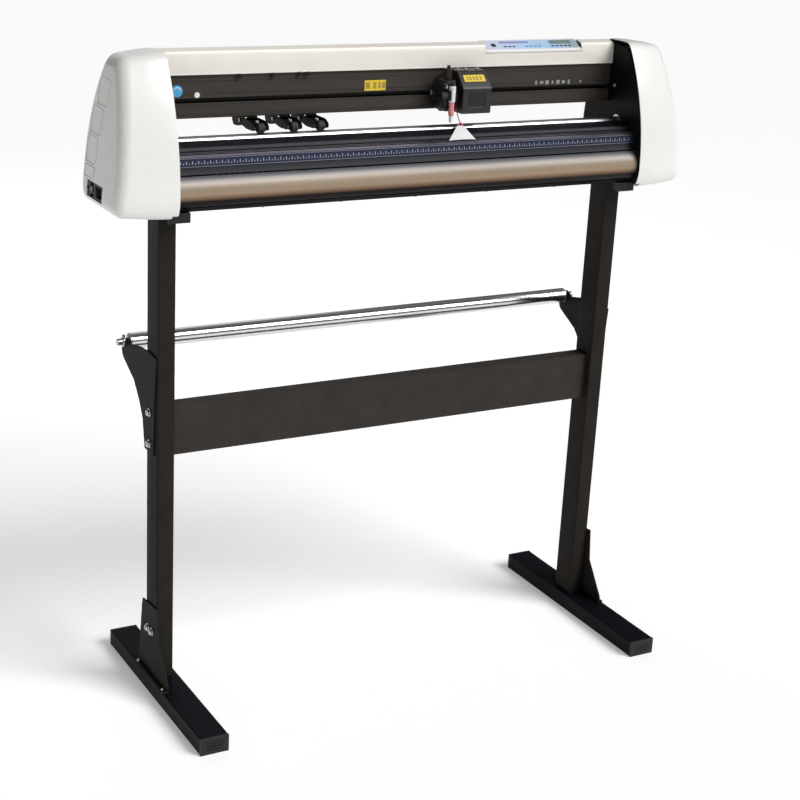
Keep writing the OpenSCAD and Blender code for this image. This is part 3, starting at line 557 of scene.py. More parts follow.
ALUMINIUM = Finish(
    "pulley_aluminium", "pulley_aluminium", (0.62, 0.63, 0.65), 0.34, 1.0, 0.06, 5 * MM, 0.01 * MM
)
MOTOR_BLACK = Finish("motor_paint", "motor_paint", (0.02, 0.02, 0.022), 0.42, 0.2, 0.1)
BELT_BLACK = Finish("belt_rubber", "belt_rubber", (0.012, 0.012, 0.012), 0.75, patch=0.15, grain=0.08 * MM)
CARRIAGE_BLACK = Finish(
    "carriage_moulding", "carriage_moulding", (
        0.018, 0.016, 0.0145
    ), 0.4, patch=0.1, grain=0.05 * MM, specular=0.4
)
CARRIAGE_DARK = Finish(
    "carriage_dark", "carriage_moulding", (0.010, 0.010, 0.011), 0.5, patch=0.1, grain=0.05 * MM
)
NYLON = Finish("nylon", "nylon", (0.74, 0.74, 0.73), 0.42, patch=0.03)
CAP_RED = Finish("nose_cap", "nylon", (0.72, 0.26, 0.24), 0.35, patch=0.08, patch_size=4 * MM)
THREAD_RED = Finish(
    "string_thread", "string_thread", (0.36, 0.016, 0.035), 0.8, patch=0.3, patch_size=1 * MM,
    grain=0.1 * MM,
)
KNOT_MAGENTA = Finish(
    "knot_thread", "string_thread", (0.50, 0.03, 0.10), 0.8, patch=0.3, patch_size=1 * MM, grain=0.1 * MM
)
PAPER = Finish(
    "tag_paper", "tag_paper", (0.86, 0.85, 0.86), 0.8, patch=0.02, grain=0.04 * MM, grain_size=0.5 * MM
)
WHEEL_RUBBER = Finish(
    "wheel_rubber", "wheel_rubber", (0.022, 0.022, 0.024), 0.7, patch=0.2, grain=0.06 * MM
)
BOARD_GREEN = Finish(
    "circuit_board", "circuit_board", (0.02, 0.12, 0.05), 0.45, patch=0.2, patch_size=6 * MM
)
COIL_TAPE = Finish("coil_tape", "motor_paint", (0.022, 0.014, 0.011), 0.4, 0.3, 0.2, 2 * MM)
LABEL_YELLOW = Finish("label_yellow", "keypad_film", (0.78, 0.56, 0.02), 0.5, patch=0.04)
LABEL_BLUE = Finish("label_blue", "keypad_film", (0.06, 0.36, 0.66), 0.4, patch=0.2, patch_size=5 * MM)
LABEL_WHITE = Finish("label_white", "keypad_film", (0.80, 0.79, 0.77), 0.5, patch=0.02)
LABEL_GREY = Finish("label_grey", "keypad_film", (0.30, 0.29, 0.28), 0.5, patch=0.2, patch_size=3 * MM)
INK_DARK = Finish("label_ink", "keypad_film", (0.02, 0.02, 0.03), 0.5, patch=0.1)
INK_OLIVE = Finish("label_olive", "keypad_film", (0.36, 0.25, 0.03), 0.5, patch=0.1)
INK_MAUVE = Finish("label_mauve", "keypad_film", (0.28, 0.25, 0.50), 0.45, patch=0.1)
DISPLAY = Finish("display_window", "keypad_film", (0.20, 0.27, 0.25), 0.16, patch=0.1, coat=0.6)


# ---- pieces --------------------------------------------------------------------


@dataclass(frozen=True)
class Edge:
    """How a piece's sharp edges are softened.

    Args:
        width: the bevel's width, 0 for none.
        steps: the bevel's segments.
        angle: edges sharper than this, in degrees, are bevelled and stay crisp in the shading.
    """

    width: float = 0.0
    steps: int = 2
    angle: float = 32.0


def settled(obj: bpy.types.Object) -> None:
    """Puts what an object's modifiers make into its mesh, and removes them.

    Args:
        obj: the object.
    """
    bpy.context.view_layer.update()
    graph = bpy.context.evaluated_depsgraph_get()
    made = bpy.data.meshes.new_from_object(
        obj.evaluated_get(graph), preserve_all_data_layers=True, depsgraph=graph
    )
    obj.modifiers.clear()
    obj.data = made


def piece(
    name: str,
    form: Shape | bpy.types.Mesh,
    finish: Finish,
    body: str = "frame",
    edge: Edge = Edge(),
    replaces: Iterable[str] = (),
    cuts: Iterable[Shape] = (),
) -> bpy.types.Object:
    """Makes one finished piece that rides on a CAD body.

    Args:
        name: the piece's name.
        form: its shape, or a mesh that is ready.
        finish: its finish.
        body: the CAD body that it moves with.
        edge: how its edges are softened.
        replaces: the CAD nodes that it stands for.
        cuts: shapes taken out of it.

    Returns:
        The piece, at the origin, with no modifiers.
    """
    mesh = form.mesh(name) if isinstance(form, Shape) else form
    obj = bpy.data.objects.new(name, mesh)
    bpy.context.scene.collection.objects.link(obj)
    tools = []
    for i, cut in enumerate(cuts):
        tool = bpy.data.objects.new(f"{name}_cut_{i}", cut.mesh(f"{name}_cut_{i}"))
        bpy.context.scene.collection.objects.link(tool)
        taken = obj.modifiers.new(f"cut_{i}", "BOOLEAN")
        taken.operation, taken.solver, taken.object = "DIFFERENCE", "EXACT", tool
        tools.append(tool)
    if tools:
        settled(obj)
        for tool in tools:
            bpy.data.objects.remove(tool)
    for polygon in obj.data.polygons:
        polygon.use_smooth = True
    obj.data.set_sharp_from_angle(angle=math.radians(edge.angle))
    if edge.width:
        bevel = obj.modifiers.new("edge", "BEVEL")
        bevel.width, bevel.segments = edge.width, edge.steps
        bevel.limit_method, bevel.angle_limit = "ANGLE", math.radians(edge.angle)
        bevel.harden_normals = True
        settled(obj)
    obj.data.name = name
    obj.data.materials.clear()
    obj.data.materials.append(finish.material())
    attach(obj, body)
    if replaces:
        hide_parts(*replaces)
    LOG.info("%s: %d faces on %s, %s", name, len(obj.data.polygons), body, finish.name)
    return obj


def refined(
    node: str,
    finish: Finish,
    width: float = 0.6 * MM,
    steps: int = 2,
    cuts: Iterable[Shape] = (),
    held: Callable[[Vector], Vector] | None = None,
) -> bpy.types.Object:
    """A copy of a CAD node with its flats joined and its edges softened, which stands for the node.

    Args:
        node: the CAD node's name.
        finish: the finish of the copy.
        width: the width of its softened edges.
        steps: the segments of its softened edges.
        cuts: shapes taken out of it.
        held: where each of its corners goes, if some have to move.

    Returns:
        The piece.
    """
    mesh = frame["nodes"][node].data.copy()
    for vertex in mesh.vertices if held else ():
        vertex.co = held(vertex.co)
    bm = bmesh.new()
    bm.from_mesh(mesh)
    bmesh.ops.remove_doubles(bm, verts=bm.verts, dist=2e-6)
    bmesh.ops.dissolve_limit(bm, angle_limit=math.radians(0.4), verts=bm.verts, edges=bm.edges)
    bm.to_mesh(mesh)
    bm.free()
    body = frame["nodes"][node]["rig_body"]
    return piece(f"{node}_made", mesh, finish, body, Edge(width, steps), [node], cuts)


# ---- trees of geometry nodes -----------------------------------------------------


class Recipe:
    """A Geometry Nodes tree in the making, with its sizes as named inputs."""

    KINDS = {float: "NodeSocketFloat", int: "NodeSocketInt", tuple: "NodeSocketVector"}

    def __init__(self, name: str) -> None:
        """Starts an empty tree with a geometry input and a finish input.

        Args:
            name: the tree's name.
        """
        self.tree = bpy.data.node_groups.new(name, "GeometryNodeTree")
        self.identifiers: dict[str, str] = {}
        sockets = self.tree.interface
        sockets.new_socket(name="Geometry", in_out="INPUT", socket_type="NodeSocketGeometry")
        sockets.new_socket(name="Geometry", in_out="OUTPUT", socket_type="NodeSocketGeometry")
        finish = sockets.new_socket(name="Finish", in_out="INPUT", socket_type="NodeSocketMaterial")
        self.identifiers["Finish"] = finish.identifier
        self.entry = self.tree.nodes.new("NodeGroupInput")

    def size(self, name: str, value: float | int | tuple) -> bpy.types.NodeSocket:
        """Adds a named input.

        Args:
            name: the input's name.
            value: its default, whose type is the input's.

        Returns:
            The input as a socket inside the tree.
        """
        made = self.tree.interface.new_socket(
            name=name, in_out="INPUT", socket_type=self.KINDS[type(value)]
        )
        made.default_value = value
        self.identifiers[name] = made.identifier
        return self.entry.outputs[name]

    def node(
        self, kind: str, inputs: dict[str | int, Any] | None = None, **settings: Any
    ) -> bpy.types.Node:
        """Adds a node.

        Args:
            kind: the node's type.
            inputs: a value or a socket for each of its inputs.
            settings: the node's own settings.

        Returns:
            The node.
        """
        made = self.tree.nodes.new(kind)
        for key, value in settings.items():
            setattr(made, key, value)
        for key, value in (inputs or {}).items():
            if isinstance(value, bpy.types.NodeSocket):
                self.tree.links.new(value, made.inputs[key])
            else:
                made.inputs[key].default_value = value
        return made

    def math(self, operation: str, a: Any, b: Any = 0.0) -> bpy.types.NodeSocket:
        """One sum of two numbers, as a socket."""
        return self.node("ShaderNodeMath", {0: a, 1: b}, operation=operation).outputs[0]

    def vector(self, x: Any, y: Any, z: Any) -> bpy.types.NodeSocket:
        """Three numbers as a vector socket."""
        return self.node("ShaderNodeCombineXYZ", {0: x, 1: y, 2: z}).outputs[0]

    def moved(self, geometry: bpy.types.NodeSocket, offset: Any) -> bpy.types.NodeSocket:
        """Geometry moved by a vector."""
        return self.node("GeometryNodeTransform", {"Geometry": geometry, "Translation": offset}).outputs[0]

    def joined(self, *parts: bpy.types.NodeSocket) -> bpy.types.NodeSocket:
        """Several geometries as one.

        Args:
            parts: the geometries.

        Returns:
            The geometry output.
        """
        join = self.node("GeometryNodeJoinGeometry")
        for part in parts:
            self.tree.links.new(part, join.inputs[0])
        return join.outputs[0]

    def on_points(self, item: bpy.types.NodeSocket) -> bpy.types.NodeSocket:
        """The item on each point of the input, with its +Z along the point's "facing".

        Args:
            item: the geometry that is put on them.

        Returns:
            The instances.
        """
        facing = self.node("GeometryNodeInputNamedAttribute", {"Name": "facing"}, data_type="FLOAT_VECTOR")
        turn = self.node("FunctionNodeAlignRotationToVector", {"Vector": facing.outputs[0]}, axis="Z")
        placed = self.node(
            "GeometryNodeInstanceOnPoints",
            {"Points": self.entry.outputs["Geometry"], "Instance": item, "Rotation": turn.outputs[0]},
        )
        return placed.outputs[0]

    def close(self, geometry: bpy.types.NodeSocket) -> None:
        """Ends the tree: instances become real and take the finish.

        Args:
            geometry: what the tree has made.
        """
        real = self.node("GeometryNodeRealizeInstances", {0: geometry})
        dressed = self.node(
            "GeometryNodeSetMaterial",
            {"Geometry": real.outputs[0], "Material": self.entry.outputs["Finish"]},
        )
        self.tree.links.new(dressed.outputs[0], self.tree.nodes.new("NodeGroupOutput").inputs[0])

    def grow(self, finish: Finish, start: bpy.types.Mesh | None = None, **sizes: Any) -> bpy.types.Mesh:
        """Runs the tree once.

        Args:
            finish: the finish that it sets.
            start: the mesh that it starts from, an empty one if not given.
            sizes: its named inputs, with _ for a space.

        Returns:
            A plain mesh.
        """
        start = start or bpy.data.meshes.new("seed")
        obj = bpy.data.objects.new("seed", start)
        bpy.context.scene.collection.objects.link(obj)
        modifier = obj.modifiers.new("recipe", "NODES")
        modifier.node_group = self.tree
        modifier[self.identifiers["Finish"]] = finish.material()
        for key, value in sizes.items():
            modifier[self.identifiers[key.replace("_", " ")]] = value
        settled(obj)
        made = obj.data
        bpy.data.objects.remove(obj)
        return made


def spots(places: Iterable[tuple[Sequence[float], Sequence[float]]]) -> bpy.types.Mesh:
    """Points with a "facing" each, for a recipe that puts something on them.

    Args:
        places: for each point, its place and the direction that it faces.

    Returns:
        A mesh of loose points.
    """
    pairs = list(places)
    mesh = bpy.data.meshes.new("spots")
    mesh.from_pydata([tuple(place) for place, _ in pairs], [], [])
    facing = mesh.attributes.new("facing", "FLOAT_VECTOR", "POINT")
    for value, (_, direction) in zip(facing.data, pairs):
        value.vector = direction
    return mesh


def fastener_recipe() -> Recipe:
    """Screws and bolts: a head with a chamfered crown and a socket, on a washer.

    Returns:
        The recipe, with the head's, washer's and socket's sizes as inputs.
    """
    r = Recipe("fasteners")
    radius, height, sides = r.size("Head Radius", 3 * MM), r.size(
        "Head Height", 2 * MM
    ), r.size("Sides", 24)
    washer, socket, corners = r.size("Washer Radius", 3 * MM), r.size("Socket Radius", 1.4 * MM), r.size(
        "Socket Sides", 6
    )
    washer_t = 0.9 * MM
    flat = r.node("GeometryNodeMeshCylinder", {"Vertices": 32, "Radius": washer, "Depth": washer_t})
    low = r.math("MULTIPLY", height, 0.7)
    trunk = r.node("GeometryNodeMeshCylinder", {"Vertices": sides, "Radius": radius, "Depth": low})
    top = r.math("MULTIPLY", height, 0.3)
    crown = r.node(
        "GeometryNodeMeshCone",
        {
            "Vertices": sides,
            "Radius Bottom": radius,
            "Radius Top": r.math("MULTIPLY", radius, 0.78),
            "Depth": top,
        },
    )
    lift = r.math("ADD", low, washer_t)
    solid = r.joined(
        r.moved(
            trunk.outputs[0], r.vector(0.0, 0.0, r.math("ADD", r.math("MULTIPLY", low, 0.5), washer_t))
        ),
        r.moved(crown.outputs[0], r.vector(0.0, 0.0, lift)),
    )
    fused = r.node("GeometryNodeMergeByDistance", {0: solid, "Distance": 1e-6})
    hole = r.node("GeometryNodeMeshCylinder", {"Vertices": corners, "Radius": socket, "Depth": height})
    raised = r.moved(
        hole.outputs[0], r.vector(0.0, 0.0, r.math("ADD", lift, r.math("MULTIPLY", height, 0.35)))
    )
    cut = r.node(
        "GeometryNodeMeshBoolean", {"Mesh 1": fused.outputs[0], "Mesh 2": raised}, operation="DIFFERENCE"
    )
    seat = r.moved(flat.outputs[0], (0, 0, washer_t / 2))
    r.close(r.on_points(r.joined(cut.outputs[0], seat)))
    return r


def row_recipe() -> Recipe:
    """A row of small bars, of which every so many is longer: ticks, ribs, louvres and bars.

    Returns:
        The recipe, with the bars' count, pitch, size and tilt as inputs.
    """
    r = Recipe("rows")
    count, start, pitch = r.size("Count", 10), r.size("Start", (0.0, 0.0, 0.0)), r.size(
        "Pitch", (0.01, 0.0, 0.0)
    )
    size, tilt = r.size("Size", (1 * MM, 4 * MM, 0.2 * MM)), r.size("Tilt", 0.0)
    every, longer = r.size("Long Every", 10), r.size("Long Scale", 1.0)
    line = r.node(
        "GeometryNodeMeshLine", {"Count": count, "Start Location": start, "Offset": pitch}, mode="OFFSET"
    )
    half = r.node("ShaderNodeVectorMath", {0: size, 1: (0, 0.5, 0)}, operation="MULTIPLY")
    bar = r.moved(r.node("GeometryNodeMeshCube", {"Size": size}).outputs[0], half.outputs[0])
    index = r.node("GeometryNodeInputIndex").outputs[0]
    is_long = r.math("LESS_THAN", r.math("MODULO", index, every), 0.5)
    reach = r.math("ADD", r.math("MULTIPLY", is_long, r.math("SUBTRACT", longer, 1.0)), 1.0)
    turn = r.node("FunctionNodeEulerToRotation", {0: r.vector(tilt, 0.0, 0.0)})
    placed = r.node(
        "GeometryNodeInstanceOnPoints",
        {
            "Points": line.outputs[0],
            "Instance": bar,
            "Rotation": turn.outputs[0],
            "Scale": r.vector(1.0, reach, 1.0),
        },
    )
    r.close(placed.outputs[0])
    return r


def ring_recipe() -> Recipe:
    """Round ribs on a circle about Z: knurls, pulley teeth and the lobes of a knob.

    Returns:
        The recipe, with the ribs' count, sizes and circle as inputs.
    """
    r = Recipe("rings")
    count, radius = r.size("Count", 24), r.size("Ring Radius", 6 * MM)
    rib, length = r.size("Rib Radius", 0.5 * MM), r.size("Length", 8 * MM)
    circle = r.node("GeometryNodeMeshCircle", {"Vertices": count, "Radius": radius})
    bar = r.node("GeometryNodeMeshCylinder", {"Vertices": 8, "Radius": rib, "Depth": length})
    raised = r.moved(bar.outputs[0], r.vector(0.0, 0.0, r.math("MULTIPLY", length, 0.5)))
    r.close(
        r.node("GeometryNodeInstanceOnPoints", {"Points": circle.outputs[0], "Instance": raised}).outputs[0]
    )
    return r


def coil_recipe() -> Recipe:
    """A coil spring about Z.

    Returns:
        The recipe, with the turns, radii and height as inputs.
    """
    r = Recipe("coils")
    turns, radius = r.size("Turns", 6.0), r.size("Coil Radius", 3 * MM)
    wire, height = r.size("Wire Radius", 0.35 * MM), r.size("Height", 12 * MM)
    line = r.node(
        "GeometryNodeCurveSpiral",
        {
            "Resolution": 20,
            "Rotations": turns,
            "Start Radius": radius,
            "End Radius": radius,
            "Height": height,
        },
    )
    ring = r.node("GeometryNodeCurvePrimitiveCircle", {"Resolution": 8, "Radius": wire})
    solid = r.node(
        "GeometryNodeCurveToMesh",
        {"Curve": line.outputs[0], "Profile Curve": ring.outputs[0], "Fill Caps": True},
    )
    r.close(solid.outputs[0])
    return r


def frame_recipe() -> Recipe:
    """Raised rectangular beads with rounded corners, one on each point.

    Returns:
        The recipe, with the bead's sizes as inputs.
    """
    r = Recipe("beads")
    width, height = r.size("Width", 40 * MM), r.size("Height", 50 * MM)
    corner, bead = r.size("Corner", 4 * MM), r.size("Bead", 1 * MM)
    line = r.node("GeometryNodeCurvePrimitiveQuadrilateral", {"Width": width, "Height": height})
    soft = r.node(
        "GeometryNodeFilletCurve", {"Curve": line.outputs[0], "Radius": corner, "Count": 5}, mode="POLY"
    )
    ring = r.node("GeometryNodeCurvePrimitiveCircle", {"Resolution": 10, "Radius": bead})
    solid = r.node("GeometryNodeCurveToMesh", {"Curve": soft.outputs[0], "Profile Curve": ring.outputs[0]})
    r.close(r.on_points(solid.outputs[0]))
    return r


@dataclass
class Workshop:
    """The recipes that every sub-assembly shares, each made once."""

    fasteners: Recipe = field(default_factory=fastener_recipe)
    rows: Recipe = field(default_factory=row_recipe)
    rings: Recipe = field(default_factory=ring_recipe)
    coils: Recipe = field(default_factory=coil_recipe)
    beads: Recipe = field(default_factory=frame_recipe)

    def screws(
        self,
        name: str,
        places: Iterable[tuple[Sequence[float], Sequence[float]]],
        finish: Finish = ZINC,
        body: str = "frame",
        radius: float = 3 * MM,
        height: float = 2 * MM,
        sides: int = 24,
        washer: float = 3.4 * MM,
        replaces: Iterable[str] = (),
    ) -> bpy.types.Object:
        """Screws or bolts on one body.

        Args:
            name: the piece's name.
            places: for each, the place of its seat and the direction that its head faces.
            finish: their finish.
            body: the CAD body.
            radius: the head's radius.
            height: the head's height.
            sides: 6 for a hexagon, more for a round head.
            washer: the washer's radius.
            replaces: CAD nodes that they stand for.

        Returns:
            The piece.
        """
        sizes = {"Head_Radius": radius, "Head_Height": height, "Sides": sides, "Washer_Radius": washer}
        mesh = self.fasteners.grow(finish, spots(places), Socket_Radius=radius * 0.45, **sizes)
        return piece(name, mesh, finish, body, replaces=replaces)

    def spring(self, name: str, finish: Finish, body: str, place: Matrix, turns: float, radius: float,
               wire: float, height: float) -> bpy.types.Object:
        """A coil spring at a place, along that place's +Z.

        Args:
            name: the piece's name.
            finish: its finish.
            body: the CAD body.
            place: where it starts.
            turns: its turns.
            radius: the coil's radius.
            wire: the wire's radius.
            height: its length.

        Returns:
            The piece.
        """
        mesh = self.coils.grow(finish, Turns=turns, Coil_Radius=radius, Wire_Radius=wire, Height=height)
        mesh.transform(place)
        return piece(name, mesh, finish, body)


# ---- places in the frame ------------------------------------------------------------

HEAD_Y = sum(corner.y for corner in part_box("left_column")) / 2
HEAD_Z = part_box("base_tray")[0].z
INNER_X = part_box("rail")[1].x
PANEL_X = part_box("right_side_panel")[1].x


def islands(node: str) -> list[tuple[Vector, Vector]]:
    """The box of each separate solid in a CAD node, as its lowest and highest corners.

    Args:
        node: the CAD node's name.

    Returns:
        The boxes, in order of their corners.
    """
    bm = bmesh.new()
    bm.from_mesh(frame["nodes"][node].data)
    bmesh.ops.remove_doubles(bm, verts=bm.verts, dist=2e-6)
    left = set(bm.verts)
    boxes = []
    while left:
        queue = [left.pop()]
        group = []
        while queue:
            vert = queue.pop()
            group.append(vert.co.copy())
            for link in vert.link_edges:
                other = link.other_vert(vert)
                if other in left:
                    left.remove(other)
                    queue.append(other)
        boxes.append((Vector(map(min, *group)), Vector(map(max, *group))))
    bm.free()
    return sorted(boxes, key=lambda box: tuple(round(v, 4) for v in (*box[0], *box[1])))


def combined(meshes: Iterable[bpy.types.Mesh]) -> bpy.types.Mesh:
    """Several meshes as one.

    Args:
        meshes: what goes in.

    Returns:
        A new mesh.
    """
    bm = bmesh.new()
    for mesh in meshes:
        bm.from_mesh(mesh)
    made = bpy.data.meshes.new("combined")
    bm.to_mesh(made)
    bm.free()
    return made


@dataclass
class Assembly:
    """A group of pieces.

    Args:
        shop: the shared recipes.
    """

    shop: Workshop

    def build(self) -> None:
        """Makes every piece of the group."""
        raise NotImplementedError


# ---- stand -------------------------------------------------------------------------


@dataclass
class Stand(Assembly):
    """Feet, columns, cross panel, roll arms, media roller and what bolts them together."""

    wall: float = 2 * MM
    foot_corner: float = 2.5 * MM
    column_corner: float = 3 * MM
    roller_wall: float = 1.5 * MM
    flange_screw: float = 4 * MM
    cap_rib: tuple[float, float] = (0.5 * MM, 1.2 * MM)
    cap_rib_share: float = 0.6
    cap_rib_low: float = 9 * MM
    cap_rib_pitch: float = 6 * MM

    def tube(self, node: str, finish: Finish, axis: Axis, corner: float) -> None:
        """A rectangular steel tube in the place of a CAD node.

        Args:
            node: the CAD node.
            finish: its paint.
            axis: the direction that it runs in.
            corner: the radius of its long edges.
        """
        low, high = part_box(node)
        across = [i for i in range(3) if i != axis.value]
        size = [high[i] - low[i] for i in across]
        middle = [(high[i] + low[i]) / 2 for i in across]
        start, end = low[axis.value], high[axis.value]
        outer = prism(plate(size[0], size[1], corner, middle), start, end, axis)
        inside = plate(size[0] - 2 * self.wall, size[1] - 2 * self.wall, corner / 2, middle)
        bore = prism(inside, start - self.wall, end + self.wall, axis)
        piece(f"{node}_tube", outer, finish, edge=Edge(0.3 * MM, 1), replaces=[node], cuts=[bore])

    def build(self) -> None:
        """Makes every piece of the stand."""
        for side in ("left", "right"):
            self.tube(f"{side}_foot", FOOT_PAINT, Axis.Y, self.foot_corner)
            self.tube(f"{side}_column", POWDER, Axis.Z, self.column_corner)
        for node, finish, width, steps in (
            ("foot_caps", BLACK_PLASTIC, 1.6, 3),
            ("foot_gussets", POWDER, 0.9, 2),
            ("cross_panel", PANEL_POWDER, 0.9, 3),
            ("roll_arms", POWDER, 0.9, 2),
            ("head_brackets", BLACK_PLASTIC, 0.8, 2),
            ("head_knobs", BLACK_PLASTIC, 0.7, 2),
            ("roller_plugs", GROUND_STEEL, 0.5, 2),
        ):
            refined(node, finish, width * MM, steps)
        self.roller()
        self.bolts()
        self.cap_ribs()

    def roller(self) -> None:
        """The polished media roller tube."""
        low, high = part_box("media_roller")
        radius, bore = (high.z - low.z) / 2, (high.z - low.z) / 2 - self.roller_wall
        chamfer = 0.4 * MM
        profile = [(bore, low.x), (radius - chamfer, low.x), (radius, low.x + chamfer)]
        profile += [(radius, high.x - chamfer), (radius - chamfer, high.x), (bore, high.x)]
        shape = lathe(profile, 64).at(0, (low.y + high.y) / 2, (low.z + high.z) / 2, Axis.X)
        piece("media_roller_tube", shape, CHROME, "media_roller", replaces=["media_roller"])

    def bolts(self) -> None:
        """Hexagon bolts on the arms and gussets, and pan head screws on the foot flanges."""
        sides, feet = [], []
        for low, high in islands("stand_bolts"):
            middle = (low + high) / 2
            outward = math.copysign(1, middle.x)
            if high.z - low.z < self.flange_screw:
                feet.append(((middle.x, middle.y, low.z), (0, 0, 1)))
            else:
                seat = low.x if outward > 0 else high.x
                sides.append(((seat, middle.y, middle.z), (outward, 0, 0)))
        bolts = self.shop.screws(
            "stand_hex_bolts", sides, radius=5.8 * MM, height=4.2 * MM, sides=6, washer=7 * MM
        )
        self.shop.screws("foot_flange_screws", feet, radius=3 * MM, height=2 * MM)
        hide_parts("stand_bolts")

    def cap_ribs(self) -> None:
        """Three grip ribs across the end of each foot cap."""
        meshes = []
        depth, tall = self.cap_rib
        pitch = (0.0, 0.0, self.cap_rib_pitch)
        for low, high in islands("foot_caps"):
            front = (low.y + high.y) / 2 < 0
            face = low.y if front else high.y - depth
            size = ((high.x - low.x) * self.cap_rib_share, depth, tall)
            start = ((low.x + high.x) / 2, face, low.z + self.cap_rib_low)
            meshes.append(self.shop.rows.grow(BLACK_PLASTIC, Count=3, Start=start, Pitch=pitch, Size=size))
        piece("foot_cap_ribs", combined(meshes), BLACK_PLASTIC)


# ---- head ---------------------------------------------------------------------------


@dataclass
class EndCover:
    """A moulded cover over one end of the head.

    Args:
        side: which end.
        width: how far it reaches out from its side panel.
        wall: its wall.
        corner: the radius where its front turns into its side.
        taper: how far it draws in before that corner.
        lean: how far its side leans in for each metre of height.
        lean_from: the height over the base plate where the lean starts.
        front, rear: the outline's furthest points from the column line.
        belly, shoulder: heights of those points.
        front_radius, rear_radius: the outline's big arcs.
        skirt: how far it hangs below the base plate.
        chin: the radius under the belly.
        lip: the thickness of the lip that wraps the side panel's edge.
        lip_gap: the gap between the lip and that edge.
        steps: points round the outline.
        middle_z: the height that the outline's points turn about.
    """

    side: Side
    width: float = 91.7 * MM
    wall: float = 2.5 * MM
    corner: float = 20 * MM
    taper: float = 5 * MM
    lean: float = 0.12
    lean_from: float = 20 * MM
    front: float = -91 * MM
    rear: float = 94 * MM
    belly: float = 25 * MM
    shoulder: float = 80 * MM
    front_radius: float = 400 * MM
    rear_radius: float = 255 * MM
    skirt: float = 7 * MM
    chin: float = 52 * MM
    lip: float = 1.3 * MM
    lip_gap: float = 0.25 * MM
    steps: int = 160
    middle_z: float = 110 * MM

    @property
    def middle(self) -> Vector:
        """The place that the outline's points turn about."""
        return Vector((0, self.middle_z))

    def outline(self) -> Outline:
        """The end outline in Y and Z from the column line and the base plate.

        Returns:
            The corners, from the front's foot over the top to the rear's foot.
        """
        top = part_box("left_cover")[1].z - HEAD_Z
        low = 180 + math.degrees(math.asin((self.belly + self.skirt) / self.chin))
        front_end = math.degrees(math.asin((top - self.belly) / self.front_radius))
        rear_start = math.degrees(math.asin((top - self.shoulder) / self.rear_radius))
        points = arc((self.front + self.chin, self.belly), self.chin, low, 180, 8)
        points += arc(
            (self.front + self.front_radius, self.belly), self.front_radius, 179, 180 - front_end, 16
        )
        points += arc((self.rear - self.rear_radius, self.shoulder), self.rear_radius, rear_start, 0, 16)
        return points + [(self.rear - 2 * MM, self.belly), (self.rear - 14 * MM, -self.skirt)]

    def ring(self, inset: float) -> list[Vector]:
        """The outline drawn in by an inset, as points at even turns about its middle with soft corners.

        Args:
            inset: how far it is drawn in.

        Returns:
            The points.
        """
        corners = [Vector(p) for p in self.outline()]
        edges = []
        for here, after in zip(corners, corners[1:] + corners[:1]):
            along = (after - here).normalized()
            outward = Vector((-along.y, along.x))
            edges.append((outward, outward.dot(here - self.middle) - inset))
        ring = []
        for i in range(self.steps):
            ray = Vector((math.cos(math.tau * i / self.steps), math.sin(math.tau * i / self.steps)))
            reach = min(gap / outward.dot(ray) for outward, gap in edges if outward.dot(ray) > 1e-6)
            ring.append(self.middle + ray * reach)
        for _ in range(3):
            ring = [(ring[i - 1] + ring[i] * 2 + ring[(i + 1) % self.steps]) / 4 for i in range(self.steps)]
        return ring

    def slice(self, out: float, inset: float) -> list[Vector]:
        """One ring of the cover in the frame, at a distance out from the side panel.

        Args:
            out: how far it stands out.
            inset: how far it is drawn in.

        Returns:
            The points, in the frame.
        """
        share = min(1.0, max(0.0, out) / (self.width - self.corner)) * self.lean
        return [
            Vector(
                (
                    self.side.value * (PANEL_X + out - share * (p.y - self.lean_from)), HEAD_Y + p.x,
                    HEAD_Z + p.y,
                )
            )
            for p in self.ring(inset)
        ]

    def skin(self, wall: float) -> list[list[Vector]]:
        """The rings of the outer skin for a wall of 0, or of the inner one.

        Args:
            wall: how far it lies inside the outer skin.

        Returns:
            The rings, from the side panel outwards.
        """
        straight = self.width - self.corner
        rings = [self.slice(straight * k / 6, wall + self.taper * (k / 6) ** 1.5) for k in range(7)]
        for turn in range(10, 91, 10):
            a = math.radians(turn)
            radius = self.corner - wall
            rings.append(
                self.slice(straight + radius * math.sin(a), self.taper + self.corner - radius * math.cos(a))
            )
        return rings

    def shape(self) -> Shape:
        """The shell: its inner skin, the lip over the side panel's edge and its outer skin.

        Returns:
            A closed shape.
        """
        shape = Shape()
        reach = PANEL_X - INNER_X - 0.3 * MM
        lip = [self.slice(0, self.lip), self.slice(-reach, self.lip), self.slice(-reach, 0)]
        rings = [*reversed(self.skin(self.wall)), *lip, *self.skin(0.0)]
        for ring in rings:
            shape.points.extend(ring)
        count = self.steps
        for k in range(len(rings) - 1):
            for i in range(count):
                j = (i + 1) % count
                shape.faces.append((k * count + i, k * count + j, (k + 1) * count + j, (k + 1) * count + i))
        last = (len(rings) - 1) * count
        shape.faces += [tuple(range(count)), tuple(range(last, last + count))]
        return shape

    def inside(self, ring: list[Vector], spot: Vector) -> Vector:
        """A place in the frame, drawn in to a ring of the outline if it lies beyond it.

        Args:
            ring: the ring, as the method of that name makes it.
            spot: the place.

        Returns:
            The place or, where that lies outside, the one on the ring that is nearest the middle from it.
        """
        ray = Vector((spot.y - HEAD_Y, spot.z - HEAD_Z)) - self.middle
        index = int(math.atan2(ray.y, ray.x) % math.tau / math.tau * self.steps)
        reach = min((ring[(index + k) % self.steps] - self.middle).length for k in (-1, 0, 1, 2))
        near = self.middle + ray * min(1.0, reach / max(ray.length, 1e-9))
        return Vector((spot.x, near.x + HEAD_Y, near.y + HEAD_Z))

